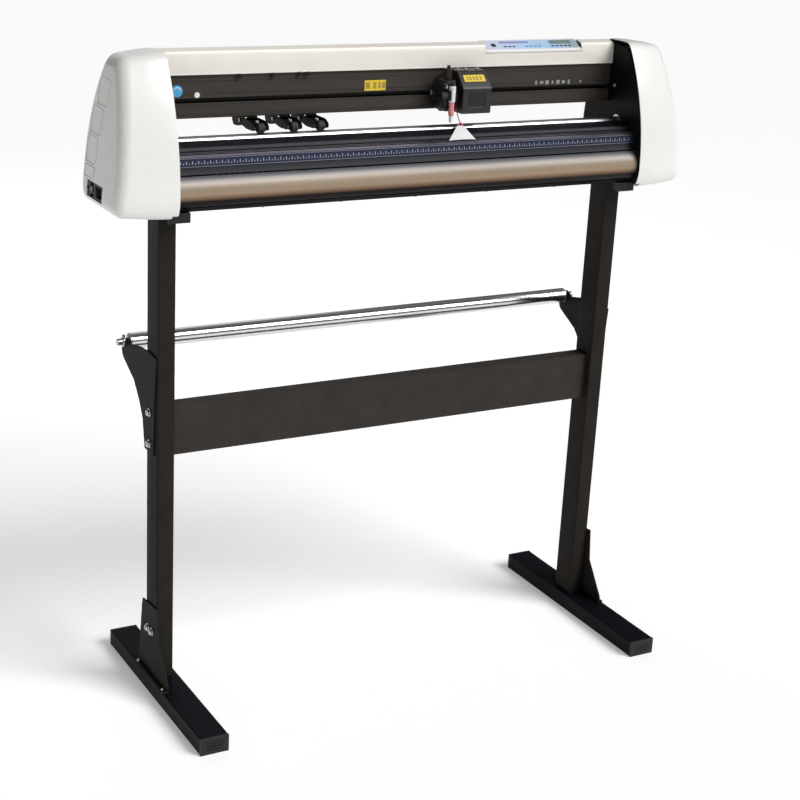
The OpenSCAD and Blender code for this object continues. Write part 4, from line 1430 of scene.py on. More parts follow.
    def on_side(self, y: float, z: float) -> tuple[Vector, Vector]:
        """A place on the cover's side face.

        Args:
            y: how far behind the column line.
            z: how high over the base plate.

        Returns:
            The place and the direction that the face looks in.
        """
        out = self.width - self.lean * (z - self.lean_from)
        return Vector((self.side.value * (PANEL_X + out), HEAD_Y + y, HEAD_Z + z)), Vector(
            (self.side.value, 0, self.lean)
        )

    def on_rear(self, turn: float, out: float) -> tuple[Vector, Vector]:
        """A place on the cover's rear, from its turn about the outline's middle in degrees.

        Args:
            turn: the turn.
            out: how far out from the side panel.

        Returns:
            The place and the direction that the cover faces there.
        """
        index = round(turn / 360 * self.steps) % self.steps
        ring = self.slice(out, self.taper * (out / (self.width - self.corner)) ** 1.5)
        along = (ring[(index + 1) % self.steps] - ring[index - 1]).normalized()
        return ring[index], Vector((0, along.z, -along.y))


@dataclass
class Head(Assembly):
    """The head's housing: covers, side panels, hood, control panel, tray and power inlet."""

    bead_width: float = 44 * MM
    bead_height: float = 42 * MM
    bead_pitch: float = 46.5 * MM
    bead_low: float = 84 * MM
    bead_rear: tuple[float, ...] = (45 * MM, 36.5 * MM, 18 * MM)
    panel_slope: float = math.atan2(15, 27)
    clip_places: tuple[float, ...] = (-292 * MM, -233 * MM, -186 * MM, -172 * MM)
    rear_screw_pitch: float = 105 * MM
    louvre_places: tuple[float, ...] = (-300 * MM, -110 * MM, 110 * MM, 300 * MM)
    louvre_pitch: float = 6 * MM
    tray_screw_pitch: float = 140 * MM

    def build(self) -> None:
        """Makes every piece of the housing."""
        for side in Side:
            cover = EndCover(side)
            self.cover(cover)
            seat = cover.ring(cover.lip + cover.lip_gap)
            refined(
                f"{side.name.lower()}_side_panel", SIDE_BLACK, 0.8 * MM, held=partial(cover.inside, seat)
            )
        refined("hood", HOOD_CREAM, 1.1 * MM, 3)
        refined("base_tray", TRAY_BLACK, 0.8 * MM)
        self.hood_trim()
        self.control_panel()
        self.inlet()
        self.louvres()
        self.panel_screws()

    def cover(self, cover: EndCover) -> None:
        """One end cover with its raised beads and rear screws.

        Args:
            cover: its sizes.
        """
        name = cover.side.name.lower()
        seat = sorted(cover.side.value * x for x in (INNER_X - 5 * MM, PANEL_X - 0.1 * MM))
        cuts = [block((seat[0], HEAD_Y - 0.2, HEAD_Z - 0.1), (seat[1], HEAD_Y + 0.2, HEAD_Z))]
        if cover.side is Side.LEFT:
            low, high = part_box("power_inlet")
            gap = 0.1 * MM
            cuts += [
                block((low.x - 10 * MM, low.y - gap, low.z - gap), (high.x, high.y + gap, high.z + gap))
            ]
        piece(
            f"{name}_cover_shell", cover.shape(), COVER_CREAM, replaces=[f"{name}_cover"], cuts=cuts,
            edge=Edge(angle=50),
        )
        places = [
            cover.on_side(y, self.bead_low + self.bead_pitch * k) for k, y in enumerate(self.bead_rear)
        ]
        sizes = {"Width": self.bead_height, "Height": self.bead_width, "Corner": 3 * MM, "Bead": 0.9 * MM}
        piece(f"{name}_cover_beads", self.shop.beads.grow(COVER_CREAM, spots(places), **sizes), COVER_CREAM)
        low_height = 0.45 * self.bead_height
        sizes["Width"] = low_height
        lowest = [cover.on_side(46 * MM, self.bead_low - self.bead_pitch / 2 - low_height / 2 - 2 * MM)]
        piece(
            f"{name}_cover_low_bead", self.shop.beads.grow(COVER_CREAM, spots(lowest), **sizes), COVER_CREAM
        )
        rear = [cover.on_rear(turn, out) for turn in (-25, 10, 38) for out in (10 * MM, 60 * MM)]
        self.shop.screws(
            f"{name}_cover_screws", rear, ZINC, radius=2.6 * MM, height=1.4 * MM, washer=2.8 * MM
        )

    def hood_trim(self) -> None:
        """A bead along the hood's front edge, the clips under it and the screws on its rear."""
        low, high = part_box("hood")
        rail_low, rail_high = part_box("rail")
        back, foot, top = low.y + 2.5 * MM, rail_high.z - 1 * MM, rail_high.z + 1.6 * MM
        bead = rounded([(low.y, foot), (back, foot), (back, top), (low.y, top)], 0.8 * MM)
        bead = [(y - 0.5 * MM, z) for y, z in bead]
        piece("hood_edge_bead", prism(bead, -INNER_X + 1 * MM, INNER_X - 1 * MM), HOOD_CREAM)
        seat_y = low.y - 0.4 * MM
        clips = [((x, seat_y, rail_high.z - 4 * MM), (0, -1, 0)) for x in self.clip_places]
        self.shop.screws(
            "hood_clips", clips, BLACK_PLASTIC, radius=3.4 * MM, height=1.6 * MM, washer=3.8 * MM
        )
        rear = [
            ((k * self.rear_screw_pitch, high.y, rail_high.z - 6 * MM), (0, 1, 0)) for k in range(-4, 5)
        ]
        self.shop.screws("hood_rear_screws", rear, ZINC, radius=2.6 * MM, height=1.4 * MM, washer=3 * MM)

    def control_panel(self) -> None:
        """The panel on the hood's front corner with its printed film, display and keys."""
        refined("control_panel", PANEL_CREAM, 2 * MM, 3)
        low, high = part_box("keypad_overlay")
        width = high.x - low.x
        film = BandedFinish(
            "keypad_film", "keypad_film", (0.6, 0.75, 0.9), 0.3, patch=0.03, coat=0.3, axis=Axis.X,
            stops=((low.x, (0.66, 0.68, 0.80)), (low.x + width * 0.35, (0.50, 0.66, 0.88)),
                   (low.x + width * 0.8, (0.42, 0.62, 0.88)), (high.x, (0.30, 0.42, 0.42))),
        )
        refined("keypad_overlay", film, 0.15 * MM, 1)
        slope = Matrix.Rotation(self.panel_slope, 4, "X")
        centre = (low + high) / 2 + slope @ Vector((0, 0, 0.4 * MM))
        place = Matrix.Translation(centre) @ slope
        prints = {
            "panel_name_bar": (INK_MAUVE, [(-34, 5.6, 60, 4.6, 1)]),
            "panel_start_key": (INK_DARK, [(-78, -1.5, 9, 9, 4.4)]),
            "panel_dark_keys": (INK_DARK, [(-56 + 9 * k, -6, 5.5, 3.2, 1) for k in range(3)]),
            "panel_blue_keys": (LABEL_BLUE, [(-12 + 9 * k, -6, 6, 3.4, 1) for k in range(4)]),
            "panel_arrow_keys": (INK_DARK, [(42 + 9 * k, -6.4, 6, 3.6, 1.2) for k in range(5)]),
            "panel_display": (DISPLAY, [(62, 4.2, 46, 10, 1.5)]),
            "panel_lamps": (LABEL_WHITE, [(26 + 5 * k, 6, 2, 2, 1) for k in range(2)]),
        }
        for name, (finish, marks) in prints.items():
            shape = Shape()
            for x, y, wide, tall, corner in marks:
                shape += prism(
                    plate(wide * MM, tall * MM, corner * MM, (x * MM, y * MM)), -0.1 * MM, 0.25 * MM, Axis.Z
                )
            piece(name, shape.moved(place), finish, edge=Edge(0.08 * MM, 1))

    def inlet(self) -> None:
        """The power inlet with its rocker switch, the switch's mark and a fuse drawer."""
        refined("power_inlet", BLACK_PLASTIC, 0.5 * MM)
        refined("power_switch", BLACK_PLASTIC, 0.5 * MM)
        low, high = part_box("power_switch")
        y, z = (low.y + high.y) / 2, (low.z + high.z) / 2
        bar = block(
            (low.x - 0.1 * MM, y - 0.7 * MM, z - 1 * MM), (low.x + 0.5 * MM, y + 0.7 * MM, z + 5 * MM)
        )
        piece("switch_mark", bar, LABEL_WHITE, "power_switch", Edge(0.05 * MM, 1))
        face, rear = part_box("power_inlet")
        middle = (face + rear) / 2
        drawer = prism(
            plate(8 * MM, 18 * MM, 1 * MM, (middle.y + 2 * MM, middle.z)), face.x - 0.6 * MM,
            face.x + 1 * MM,
        )
        piece("fuse_drawer", drawer, BLACK_PLASTIC, edge=Edge(0.3 * MM, 2))
        ears = [((face.x, middle.y + s * 32.5 * MM, middle.z), (-1, 0, 0)) for s in (-1, 1)]
        self.shop.screws(
            "inlet_screws", ears, BLACK_PLASTIC, radius=2 * MM, height=0.8 * MM, washer=2.2 * MM
        )

    def louvres(self) -> None:
        """Four stacks of cooling louvres in the tray's rear wall."""
        low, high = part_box("base_tray")
        meshes = []
        sizes = {
            "Pitch": (0.0, 0.0, self.louvre_pitch), "Size": (46 * MM, 2.2 * MM, 2.2 * MM), "Tilt": -0.5
        }
        for x in self.louvre_places:
            start = (x, high.y - 0.2 * MM, low.z + 20 * MM)
            meshes.append(self.shop.rows.grow(BLACK_PLASTIC, Count=6, Start=start, **sizes))
        piece("tray_louvres", combined(meshes), BLACK_PLASTIC, edge=Edge(0.5 * MM, 2))

    def panel_screws(self) -> None:
        """Screws on the inner faces of the side panels and along the tray."""
        places = []
        for side in Side:
            x = side.value * INNER_X
            for y, z in ((5.5, 161.5), (-50, 60), (70, 60), (30, 215)):
                places.append(((x, HEAD_Y + y * MM, HEAD_Z + z * MM), (-side.value, 0, 0)))
        self.shop.screws("side_panel_screws", places, ZINC, radius=3 * MM, height=2 * MM, washer=4 * MM)
        pitch = self.tray_screw_pitch
        below = [
            ((k * pitch, HEAD_Y + y * MM, HEAD_Z), (0, 0, -1)) for k in range(-2, 3) for y in (-55, 70)
        ]
        self.shop.screws("tray_screws", below, ZINC, radius=2.6 * MM, height=1.4 * MM, washer=3 * MM)


# ---- rail and bed ------------------------------------------------------------------------


@dataclass
class Rail(Assembly):
    """The extruded rail that the carriage runs along, and the stickers on its front."""

    wall: float = 4 * MM
    slot_z: float = 158 * MM
    slot_h: float = 8 * MM
    groove: float = 0.8 * MM
    foot_slot: float = 7 * MM

    def build(self) -> None:
        """Makes the rail and its stickers."""
        self.extrusion()
        self.stickers()

    def extrusion(self) -> None:
        """The rail: two channels, a front slot, and fine grooves drawn along its front."""
        low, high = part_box("rail")
        front, back = low.y, high.y
        web = low.z + self.wall + 7 * MM
        middle = HEAD_Z + self.slot_z
        outer = rounded([(front, low.z), (back, low.z), (back, high.z), (front, high.z)], 1.2 * MM)
        section = prism(outer, low.x, high.x)
        run = 5 * MM
        start, end = low.x - run, high.x + run
        cuts = [
            block((start, front + self.wall, web + 3 * MM), (end, back - self.wall, high.z - self.wall)),
            block((start, front + self.wall, low.z + self.wall), (end, back - self.wall, web)),
            block(
                (start, front - run, middle - self.slot_h / 2),
                (end, front + self.wall + run, middle + self.slot_h / 2),
            ),
        ]
        foot = (front + back) / 2
        cuts.append(
            block(
                (start, foot - self.foot_slot / 2, low.z - run),
                (end, foot + self.foot_slot / 2, low.z + self.wall + run),
            )
        )
        for z, depth in (
            (high.z - 8 * MM, 2.2),
            (high.z - 12 * MM, 0.7),
            (middle + 9 * MM, 0.9),
            (middle - 7 * MM, 0.7),
            (low.z + 5 * MM, 0.7),
        ):
            cuts.append(block((start, front - run, z), (end, front + self.groove, z + depth * MM)))
        for z in (low.z + 20 * MM, low.z + 35 * MM, low.z + 50 * MM):
            cuts.append(block((start, back - self.groove, z), (end, back + run, z + 1 * MM)))
        piece("rail_extrusion", section, RAIL_BROWN, replaces=["rail"], cuts=cuts, edge=Edge(0.25 * MM, 2))

    def stickers(self) -> None:
        """A round blue sticker, a white dot, a yellow label and a row of grey marks."""
        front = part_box("rail")[0].y
        thick = 0.15 * MM

        def stuck(x: float, z: float, outline: Outline) -> Shape:
            moved = [(a + x * MM, b + HEAD_Z + z * MM) for a, b in outline]
            return prism(moved, front - thick, front + thick, Axis.Y)

        disc = arc((0, 0), 9.5 * MM, 0, 351, 39)
        piece("round_sticker", stuck(-397, 174, disc), LABEL_BLUE)
        curve = [(5.5 * MM * math.cos(t / 9), 5.5 * MM * math.sin(t / 9)) for t in range(0, 26)]
        swirl = [Vector((-397 * MM + x, front - thick, HEAD_Z + 174 * MM + z)) for x, z in curve]
        piece("round_sticker_print", tube(swirl, 0.9 * MM, 8), LABEL_WHITE)
        piece("white_dot", stuck(-363, 167, arc((0, 0), 4.5 * MM, 0, 345, 23)), LABEL_WHITE)
        piece("yellow_label", stuck(-44, 173, plate(40 * MM, 17 * MM, 1 * MM)), LABEL_YELLOW)
        marks = [(-58, 9, 11), (-45, 7, 11), (-36, 5, 11), (-28, 7, 11)]
        bars = Shape()
        for x, wide, tall in marks:
            bars += stuck(x, 173, plate(wide * MM, tall * MM, 0.4 * MM)).moved(
                Matrix.Translation((0, -0.1 * MM, 0))
            )
        piece("yellow_label_print", bars, INK_OLIVE)
        row = Shape()
        for k in range(7):
            row += stuck(
                277 + 11.5 * k, 168, plate((7 if k % 3 else 4) * MM, (5 if k % 2 else 7) * MM, 0.5 * MM)
            )
        row += stuck(371, 168, arc((0, 0), 2.4 * MM, 0, 330, 11))
        piece("grey_marks", row, LABEL_GREY)


@dataclass
class Bed(Assembly):
    """Platen, ruler, cutting strip, apron and grit shaft."""

    ridge: tuple[float, float] = (-62 * MM, 85.5 * MM)
    ridge_slope: float = math.atan2(6, 14)
    ruler_slope: float = math.atan2(15, 3)
    ruler_edge: float = 1.1 * MM
    tick_pitch: float = 5 * MM
    grit_pitch: float = 100 * MM

    def build(self) -> None:
        """Makes every piece of the bed."""
        refined("platen", PLATEN_BLACK, 0.4 * MM)
        refined("cutting_strip", STRIP_GREY, 0.2 * MM, 1)
        self.apron()
        self.ruler()
        self.edge_strips()
        self.shaft()

    def apron(self) -> None:
        """The curved metal apron, painted with reflections in bands and with painted shade, near black, at
        its foot.
        """
        low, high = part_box("apron")
        tall = high.z - low.z
        finish = BandedFinish(
            "apron_metal", "apron_metal", (
                0.42, 0.38, 0.35
            ), 0.44, 0.5, 0.08, 12 * MM, 0.01 * MM, 0.5 * MM, 40.0, specular=0.15,
            axis=Axis.Z,
            # The stops paint reflections (grey-mauve at the top, brown-gold lower down) and painted shade,
            # near black, along the foot where the apron curves under.
            stops=((low.z, (0.003, 0.0025, 0.0025)), (low.z + tall * 0.20, (0.010, 0.006, 0.005)),
                   (low.z + tall * 0.30, (0.18, 0.11, 0.07)), (low.z + tall * 0.42, (0.34, 0.25, 0.17)),
                   (low.z + tall * 0.60, (0.35, 0.28, 0.205)), (low.z + tall * 0.76, (0.25, 0.22, 0.19)),
                   (low.z + tall * 0.90, (0.125, 0.12, 0.125)), (high.z, (0.085, 0.085, 0.095))),
        )
        refined("apron", finish, 0.4 * MM)

    def ruler(self) -> None:
        """The ruler film with a mark every half pitch and two pale lines."""
        refined("ruler_strip", RULER_NAVY, 0.1 * MM, 1)
        low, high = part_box("ruler_strip")
        along = Vector((0, math.cos(self.ruler_slope), math.sin(self.ruler_slope)))
        proud = Vector((0, -along.z, along.y)) * 0.08 * MM
        foot = Vector((0, low.y, low.z)) + proud
        count = int((high.x - low.x - 20 * MM) / self.tick_pitch)
        start = foot + along * 4.6 * MM + Vector((-count * self.tick_pitch / 2, 0, 0))
        sizes = {
            "Pitch": (self.tick_pitch, 0.0, 0.0),
            "Size": (1.5 * MM, 2.2 * MM, 0.16 * MM),
            "Tilt": self.ruler_slope,
        }
        ticks = self.shop.rows.grow(
            RULER_WHITE, Count=count + 1, Start=tuple(start), Long_Every=2, Long_Scale=2.3, **sizes
        )
        piece("ruler_marks", ticks, RULER_WHITE)
        lines = Shape()
        for spot in (0.4 * MM, 13.4 * MM):
            lines += self.strip(foot + along * spot, self.ruler_slope, self.ruler_edge, 0.16 * MM)
        piece("ruler_lines", lines, LAVENDER_METAL)

    def strip(self, place: Vector, slope: float, width: float, thick: float) -> Shape:
        """A thin strip across the machine, lying on a slope from a place upwards."""
        flat = block((-INNER_X + 0.5 * MM, 0, -thick), (INNER_X - 0.5 * MM, width, thick))
        return flat.moved(Matrix.Translation(place) @ Matrix.Rotation(slope, 4, "X"))

    def edge_strips(self) -> None:
        """The bright edge strip on the platen's ridge and two fine lines behind it."""
        along = Vector((0, math.cos(self.ridge_slope), math.sin(self.ridge_slope)))
        foot = Vector((0, HEAD_Y + self.ridge[0], HEAD_Z + self.ridge[1]))
        bright = self.strip(foot + along * 0.6 * MM, self.ridge_slope, 5.2 * MM, 0.3 * MM)
        piece("ridge_strip", bright, LAVENDER_METAL, edge=Edge(0.1 * MM, 1))
        lines = self.strip(foot + along * 8.4 * MM, self.ridge_slope, 0.9 * MM, 0.3 * MM)
        lines += self.strip(foot + along * 11.8 * MM, self.ridge_slope, 0.8 * MM, 0.3 * MM)
        piece("ridge_lines", lines, LAVENDER_METAL)

    def shaft(self) -> None:
        """The ground steel shaft with its knurled grit bands."""
        refined("grit_shaft", GROUND_STEEL, 0.4 * MM)
        low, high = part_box("grit_shaft")
        feed_low, feed_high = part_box("feed_pulley")
        y, z = (feed_low.y + feed_high.y) / 2, (feed_low.z + feed_high.z) / 2
        radius = high.z - z
        band = self.shop.rings.grow(
            GROUND_STEEL, Count=56, Ring_Radius=radius - 0.2 * MM, Rib_Radius=0.24 * MM, Length=26 * MM
        )
        meshes = []
        for k in range(-4, 5):
            ribs = band.copy()
            ribs.transform(Matrix.Translation((k * self.grit_pitch, y, z)) @ Axis.X.turn())
            meshes.append(ribs)
        grit = Finish("grit_knurl", "machined_steel", (0.20, 0.20, 0.21), 0.5, 0.9, 0.2, 1 * MM)
        piece("grit_bands", combined(meshes), grit, "grit_roller")


# ---- drive ------------------------------------------------------------------------------------


@dataclass
class Drive(Assembly):
    """Motors, pulleys, belts, bearings and the electronics inside the head."""

    def build(self) -> None:
        """Makes every inner piece."""
        for nodes, finish, width, steps in (
            (("feed_pulley", "feed_motor_pulley", "drive_pulley", "idler_pulley"), ALUMINIUM, 0.2, 1),
            (("feed_motor", "carriage_motor"), MOTOR_BLACK, 0.8, 2),
            (("feed_belt", "carriage_belt"), BELT_BLACK, 0.2, 1),
            (("shaft_bearings",), GROUND_STEEL, 0.4, 2),
            (("pulley_brackets",), BLACK_PLASTIC, 0.6, 2),
            (("power_supply",), ALUMINIUM, 1.0, 2),
            (("mainboard",), BOARD_GREEN, 0.3, 1),
        ):
            for node in nodes:
                refined(node, finish, width * MM, steps)
        low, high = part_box("power_supply")
        start = ((low.x + high.x) / 2 - 60 * MM, low.y + 12 * MM, high.z)
        slots = self.shop.rows.grow(
            BLACK_PLASTIC, Count=13, Start=start, Pitch=(10 * MM, 0.0, 0.0), Size=(4 * MM, 60 * MM, 0.3 * MM))
        piece("power_supply_vents", slots, BLACK_PLASTIC)


# ---- pinch rollers -------------------------------------------------------------------------------


@dataclass
class PinchRollers(Assembly):
    """Three pinch rollers that press the media on the grit shaft."""

    count: int = 3
    bore: float = 2.05 * MM
    tyre_chamfer: float = 1.2 * MM
    cheek_span: tuple[float, float] = (11.7 * MM, 13.9 * MM)
    cheek_outline: tuple[tuple[float, float], ...] = (
        (-44, -4), (-44, 4), (-31, 9.6), (39, 9.6), (41, 0), (35, -7), (19, -6), (1, -2), (-17, -5),
    )
    axle_reach: float = 9.3 * MM
    pivot_rise: float = 5 * MM

    def build(self) -> None:
        """Makes every pinch roller."""
        for index in range(1, self.count + 1):
            self.roller(index)

    def roller(self, index: int) -> None:
        """One bracket, arm and wheel with its spring, screws and pins.

        Args:
            index: its number, from 1.
        """
        refined(f"pinch_bracket_{index}", CARRIAGE_DARK, 0.6 * MM)
        refined(f"pinch_arm_{index}", SIDE_BLACK, 0.6 * MM)
        bracket_low, bracket_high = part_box(f"pinch_bracket_{index}")
        arm_low, arm_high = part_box(f"pinch_arm_{index}")
        low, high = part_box(f"pinch_wheel_{index}")
        x, y, z = (low + high) / 2
        radius, half = (high.z - low.z) / 2, (high.x - low.x) / 2
        bore, chamfer = self.bore, self.tyre_chamfer
        profile = [
            (bore, -half),
            (radius * 0.6, -half),
            (radius * 0.62, -half + 0.8 * MM),
            (radius * 0.78, -half + 0.8 * MM),
        ]
        profile += [(radius - chamfer, -half), (radius, -half + chamfer)]
        profile += [(r, -h) for r, h in reversed(profile)]
        wheel = f"pinch_wheel_{index}"
        tyre = lathe(profile, 40).at(x, y, z, Axis.X)
        piece(f"{wheel}_tyre", tyre, WHEEL_RUBBER, wheel, Edge(angle=40), [wheel])
        corners = [(bracket_low.y + a * MM, bracket_low.z + b * MM) for a, b in self.cheek_outline]
        near, far = self.cheek_span
        outline = rounded(corners, 3 * MM)
        cheeks = prism(outline, x - far, x - near) + prism(outline, x + near, x + far)
        piece(f"pinch_cheeks_{index}", cheeks, SIDE_BLACK, f"pinch_bracket_{index}", Edge(0.4 * MM, 2))
        arm = f"pinch_arm_{index}"
        pivot_y = (bracket_low.y + bracket_high.y) / 2
        pivot_z = bracket_low.z + self.pivot_rise
        ends = [((arm_low.x, pivot_y, pivot_z), (-1, 0, 0)), ((arm_high.x, pivot_y, pivot_z), (1, 0, 0))]
        self.shop.screws(
            f"pinch_pins_{index}", ends, ZINC, arm, radius=2.4 * MM, height=1 * MM, washer=3 * MM
        )
        axles = [((x + s * self.axle_reach, y, z), (s, 0, 0)) for s in (-1, 1)]
        self.shop.screws(
            f"pinch_axle_ends_{index}", axles, ZINC, arm, radius=1.8 * MM, height=0.8 * MM, washer=2.6 * MM
        )
        beam = Matrix.Translation((x, y + radius + 5 * MM, z + 5.4 * MM))
        reach = bracket_low.z + 3 * MM - z + 1 * MM
        self.shop.spring(
            f"pinch_spring_{index}", ZINC, arm, beam, 5.0, 2.6 * MM, 0.45 * MM, max(reach, 4 * MM)
        )
        pad = prism(
            plate(20 * MM, 12 * MM, 3 * MM, (x, arm_high.y - 8 * MM)), z - 3 * MM, z + 3.4 * MM, Axis.Z
        )
        piece(f"pinch_lever_{index}", pad, BLACK_PLASTIC, arm, Edge(0.8 * MM, 3))


# ---- carriage ----------------------------------------------------------------------------------------


@dataclass
class Carriage(Assembly):
    """The tool carriage with its moulded cover, lifting unit, blade holder and transit tag."""

    window_margin: float = 12 * MM
    window_depth: float = 1.6 * MM
    bend_share: float = 0.62
    slope_run: float = 25 * MM
    label_size: tuple[float, float] = (41 * MM, 13.5 * MM)
    label_place: tuple[float, float] = (0.5 * MM, 20.5 * MM)
    mouth_half: float = 5.3 * MM
    string_radius: float = 0.8 * MM
    string_route: tuple[tuple[float, float, float], ...] = (
        (-14, -18, 150), (-14, -19.5, 150), (-14, -21, 150), (-14, -22.5, 149.7), (-14, -23.8, 148.8),
        (-13.9, -24.7, 147.5), (-13.8, -25, 146), (-13.5, -25, 143.5), (-13, -25, 140.5), (-12.2, -25, 137),
        (-11.2, -25, 133.5), (-10, -24.8, 130), (-8.6, -24.5, 126.5), (-7, -24.1, 123), (
            -5.2, -23.6, 119.5
        ),
        (-3.6, -23.1, 116.5), (-2.3, -22.7, 114), (-1.4, -22.4, 112), (-1, -22.2, 110.4),
    )
    tag_apex: tuple[float, float, float] = (-1, -22, 109.5)
    tag_width: float = 52 * MM
    tag_length: float = 38 * MM
    tag_skew: float = -13 * MM
    tag_slope: float = math.radians(31.8)

    def build(self) -> None:
        """Makes every piece of the carriage."""
        refined("carriage_plate", CARRIAGE_DARK, 0.6 * MM)
        refined("glide_shoe", NYLON, 0.5 * MM)
        self.moulded_cover()
        self.lifting_unit()
        self.blade_holder()
        self.tag_on_its_string()

    def moulded_cover(self) -> None:
        """The cover: a box with a sloping upper front, a ribbed window, a label and screws."""
        low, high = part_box("carriage_cover")
        bend_z = low.z + (high.z - low.z) * self.bend_share
        slope_y = low.y + self.slope_run
        corners = [(low.y, low.z), (low.y, bend_z), (slope_y, high.z), (high.y, high.z), (high.y, low.z)]
        outline = rounded(corners, 3 * MM)
        margin = self.window_margin
        opening = plate(
            high.x - low.x - 2 * margin, 25 * MM, 2 * MM, ((low.x + high.x) / 2, low.z + 23.5 * MM)
        )
        window = prism(opening, low.y - 5 * MM, low.y + self.window_depth, Axis.Y)
        shell = prism(outline, low.x, high.x)
        edge = Edge(1.6 * MM, 4)
        piece("carriage_cover_shell", shell, CARRIAGE_BLACK, "carriage", edge, ["carriage_cover"], [window])
        size = (high.x - low.x - 2 * margin - 3 * MM, 1.2 * MM, 1.2 * MM)
        start = ((low.x + high.x) / 2, low.y + self.window_depth - 1.1 * MM, low.z + 13.5 * MM)
        ribs = self.shop.rows.grow(
            CARRIAGE_DARK, Count=9, Start=start, Pitch=(0.0, 0.0, 2.5 * MM), Size=size
        )
        piece("carriage_window_ribs", ribs, CARRIAGE_DARK, "carriage")
        slope = math.atan2(high.z - bend_z, self.slope_run)
        place = Matrix.Translation(((low.x + high.x) / 2, low.y, bend_z)) @ Matrix.Rotation(slope, 4, "X")
        label = prism(plate(*self.label_size, 1 * MM, self.label_place), -0.2 * MM, 0.16 * MM, Axis.Z)
        piece("carriage_label", label.moved(place), LABEL_YELLOW, "carriage")
        print_marks = Shape()
        for x, wide in ((-13, 3), (-7.5, 4.5), (-1, 4), (5.5, 5), (12.5, 4)):
            print_marks += prism(
                plate(wide * MM, 7.5 * MM, 0.5 * MM, (x * MM, 20.5 * MM)), 0.1 * MM, 0.24 * MM, Axis.Z
            )
        piece("carriage_label_print", print_marks.moved(place), INK_OLIVE, "carriage")
        top = [((low.x + x * MM, high.y - 16 * MM, high.z), (0, 0, 1)) for x in (8, 23, 46)]
        self.shop.screws(
            "carriage_top_screws", top, ZINC, "carriage", radius=2.6 * MM, height=1.8 * MM, washer=3 * MM
        )
        right = [
            ((high.x, low.y + y * MM, low.z + z * MM), (1, 0, 0)) for y, z in ((12, 12), (40, 12), (30, 56))
        ]
        self.shop.screws(
            "carriage_side_screws", right, ZINC, "carriage", radius=2.2 * MM, height=1.2 * MM,
            washer=2.4 * MM,
        )

    def lifting_unit(self) -> None:
        """The lifting magnet's frame with its coil, return springs and screws."""
        refined(
            "lift_unit", Finish("lift_frame", "machined_steel", (0.05, 0.052, 0.056), 0.4, 0.6, 0.1),
            0.5 * MM,
        )
        low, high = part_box("lift_unit")
        plate_low, plate_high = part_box("carriage_plate")
        x = (low.x + high.x) / 2
        profile = ((0, 0), (8, 0), (8, 2), (7, 2), (7, 20), (8, 20), (8, 22), (3, 22), (3, 27), (0, 27))
        coil = lathe([(radius * MM, height * MM) for radius, height in profile], 32)
        piece(
            "lift_coil", coil.at(x + 1 * MM, low.y + 18 * MM, high.z - 3 * MM), COIL_TAPE, "carriage",
            Edge(0.3 * MM, 2),
        )
        front_y = low.y + 10 * MM
        for k, rod_x in enumerate((3.5 * MM, 13.5 * MM), 1):
            spot = Matrix.Translation((low.x + rod_x, low.y + 5 * MM, HEAD_Z + 171 * MM))
            self.shop.spring(f"lift_spring_{k}", ZINC, "carriage", spot, 5.0, 2.3 * MM, 0.35 * MM, 8.5 * MM)
        left = [
            ((plate_low.x + a * MM, plate_low.y, HEAD_Z + b * MM), (0, -1, 0))
            for a, b in ((4.6, 158), (5, 149))
        ]
        bright = left + [
            ((low.x + a * MM, front_y, HEAD_Z + b * MM), (0, -1, 0))
            for a, b in ((3.6, 180.4), (20.4, 176), (20.4, 146))
        ]
        self.shop.screws(
            "lift_screws", bright, ZINC, "carriage", radius=2.6 * MM, height=1.6 * MM, washer=3.2 * MM
        )

    def blade_holder(self) -> None:
        """The clamp, the white holder with its red nose cap, the blade and the knurled thumb screw."""
        refined("blade", GROUND_STEEL, 0.05 * MM, 1)
        low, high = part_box("blade_holder")
        x, y = (low.x + high.x) / 2, (low.y + high.y) / 2
        radius = (high.x - low.x) / 2
        mouth = block((x - self.mouth_half, y - 20 * MM, low.z), (x + self.mouth_half, y - 1 * MM, high.z))
        refined("holder_clamp", CARRIAGE_DARK, 0.5 * MM, cuts=[mouth])
        bore = 1.06 * MM
        grip = [
            (bore, 33 * MM),
            (3.6 * MM, 33 * MM),
            (radius - 0.6 * MM, 34.5 * MM),
            (radius - 0.1 * MM, 36 * MM),
        ]
        for k in range(3):
            base = (53.5 + 1.6 * k) * MM
            waist = radius - 0.5 * MM
            grip += [
                (radius, base),
                (waist, base + 0.3 * MM),
                (waist, base + 0.9 * MM),
                (radius, base + 1.2 * MM),
            ]
        grip += [(radius, 59 * MM), (radius - 1 * MM, 60.5 * MM), (bore, 60.5 * MM)]
        piece(
            "holder_grip", lathe(grip, 40).at(x, y, low.z), NYLON, "blade_lift", Edge(angle=30),
            ["blade_holder"],
        )
        nose = [(bore, 11 * MM)] + [
            (r * MM, z * MM)
            for r, z in ((3.9, 11), (4.9, 12.5), (5.1, 17), (4.7, 21), (4.1, 25), (4.5, 30), (4.5, 33.2))
        ]
        nose.append((bore, 33.2 * MM))
        piece("holder_nose_cap", lathe(nose, 32).at(x, y, low.z), CAP_RED, "blade_lift", Edge(angle=40))
        tip = [(bore, 0.0), (2.2 * MM, 0.0), (3 * MM, 2 * MM), (3.7 * MM, 11.2 * MM), (bore, 11.2 * MM)]
        stem = [
            (bore, 60.3 * MM),
            (3 * MM, 60.3 * MM),
            (3 * MM, 65.4 * MM),
            (2.4 * MM, 66 * MM),
            (bore, 66 * MM),
        ]
        piece("holder_stem", lathe(stem, 24).at(x, y, low.z), BLACK_PLASTIC, "blade_lift", Edge(angle=30))
        piece("holder_tip", lathe(tip, 32).at(x, y, low.z), NYLON, "blade_lift", Edge(angle=40))
        refined("holder_knob", BLACK_PLASTIC, 0.4 * MM)
        low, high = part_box("holder_knob")
        z = (low.z + high.z) / 2
        ribs = self.shop.rings.grow(
            BLACK_PLASTIC, Count=24, Ring_Radius=(high.z - low.z) / 2, Rib_Radius=0.5 * MM, Length=9 * MM
        )
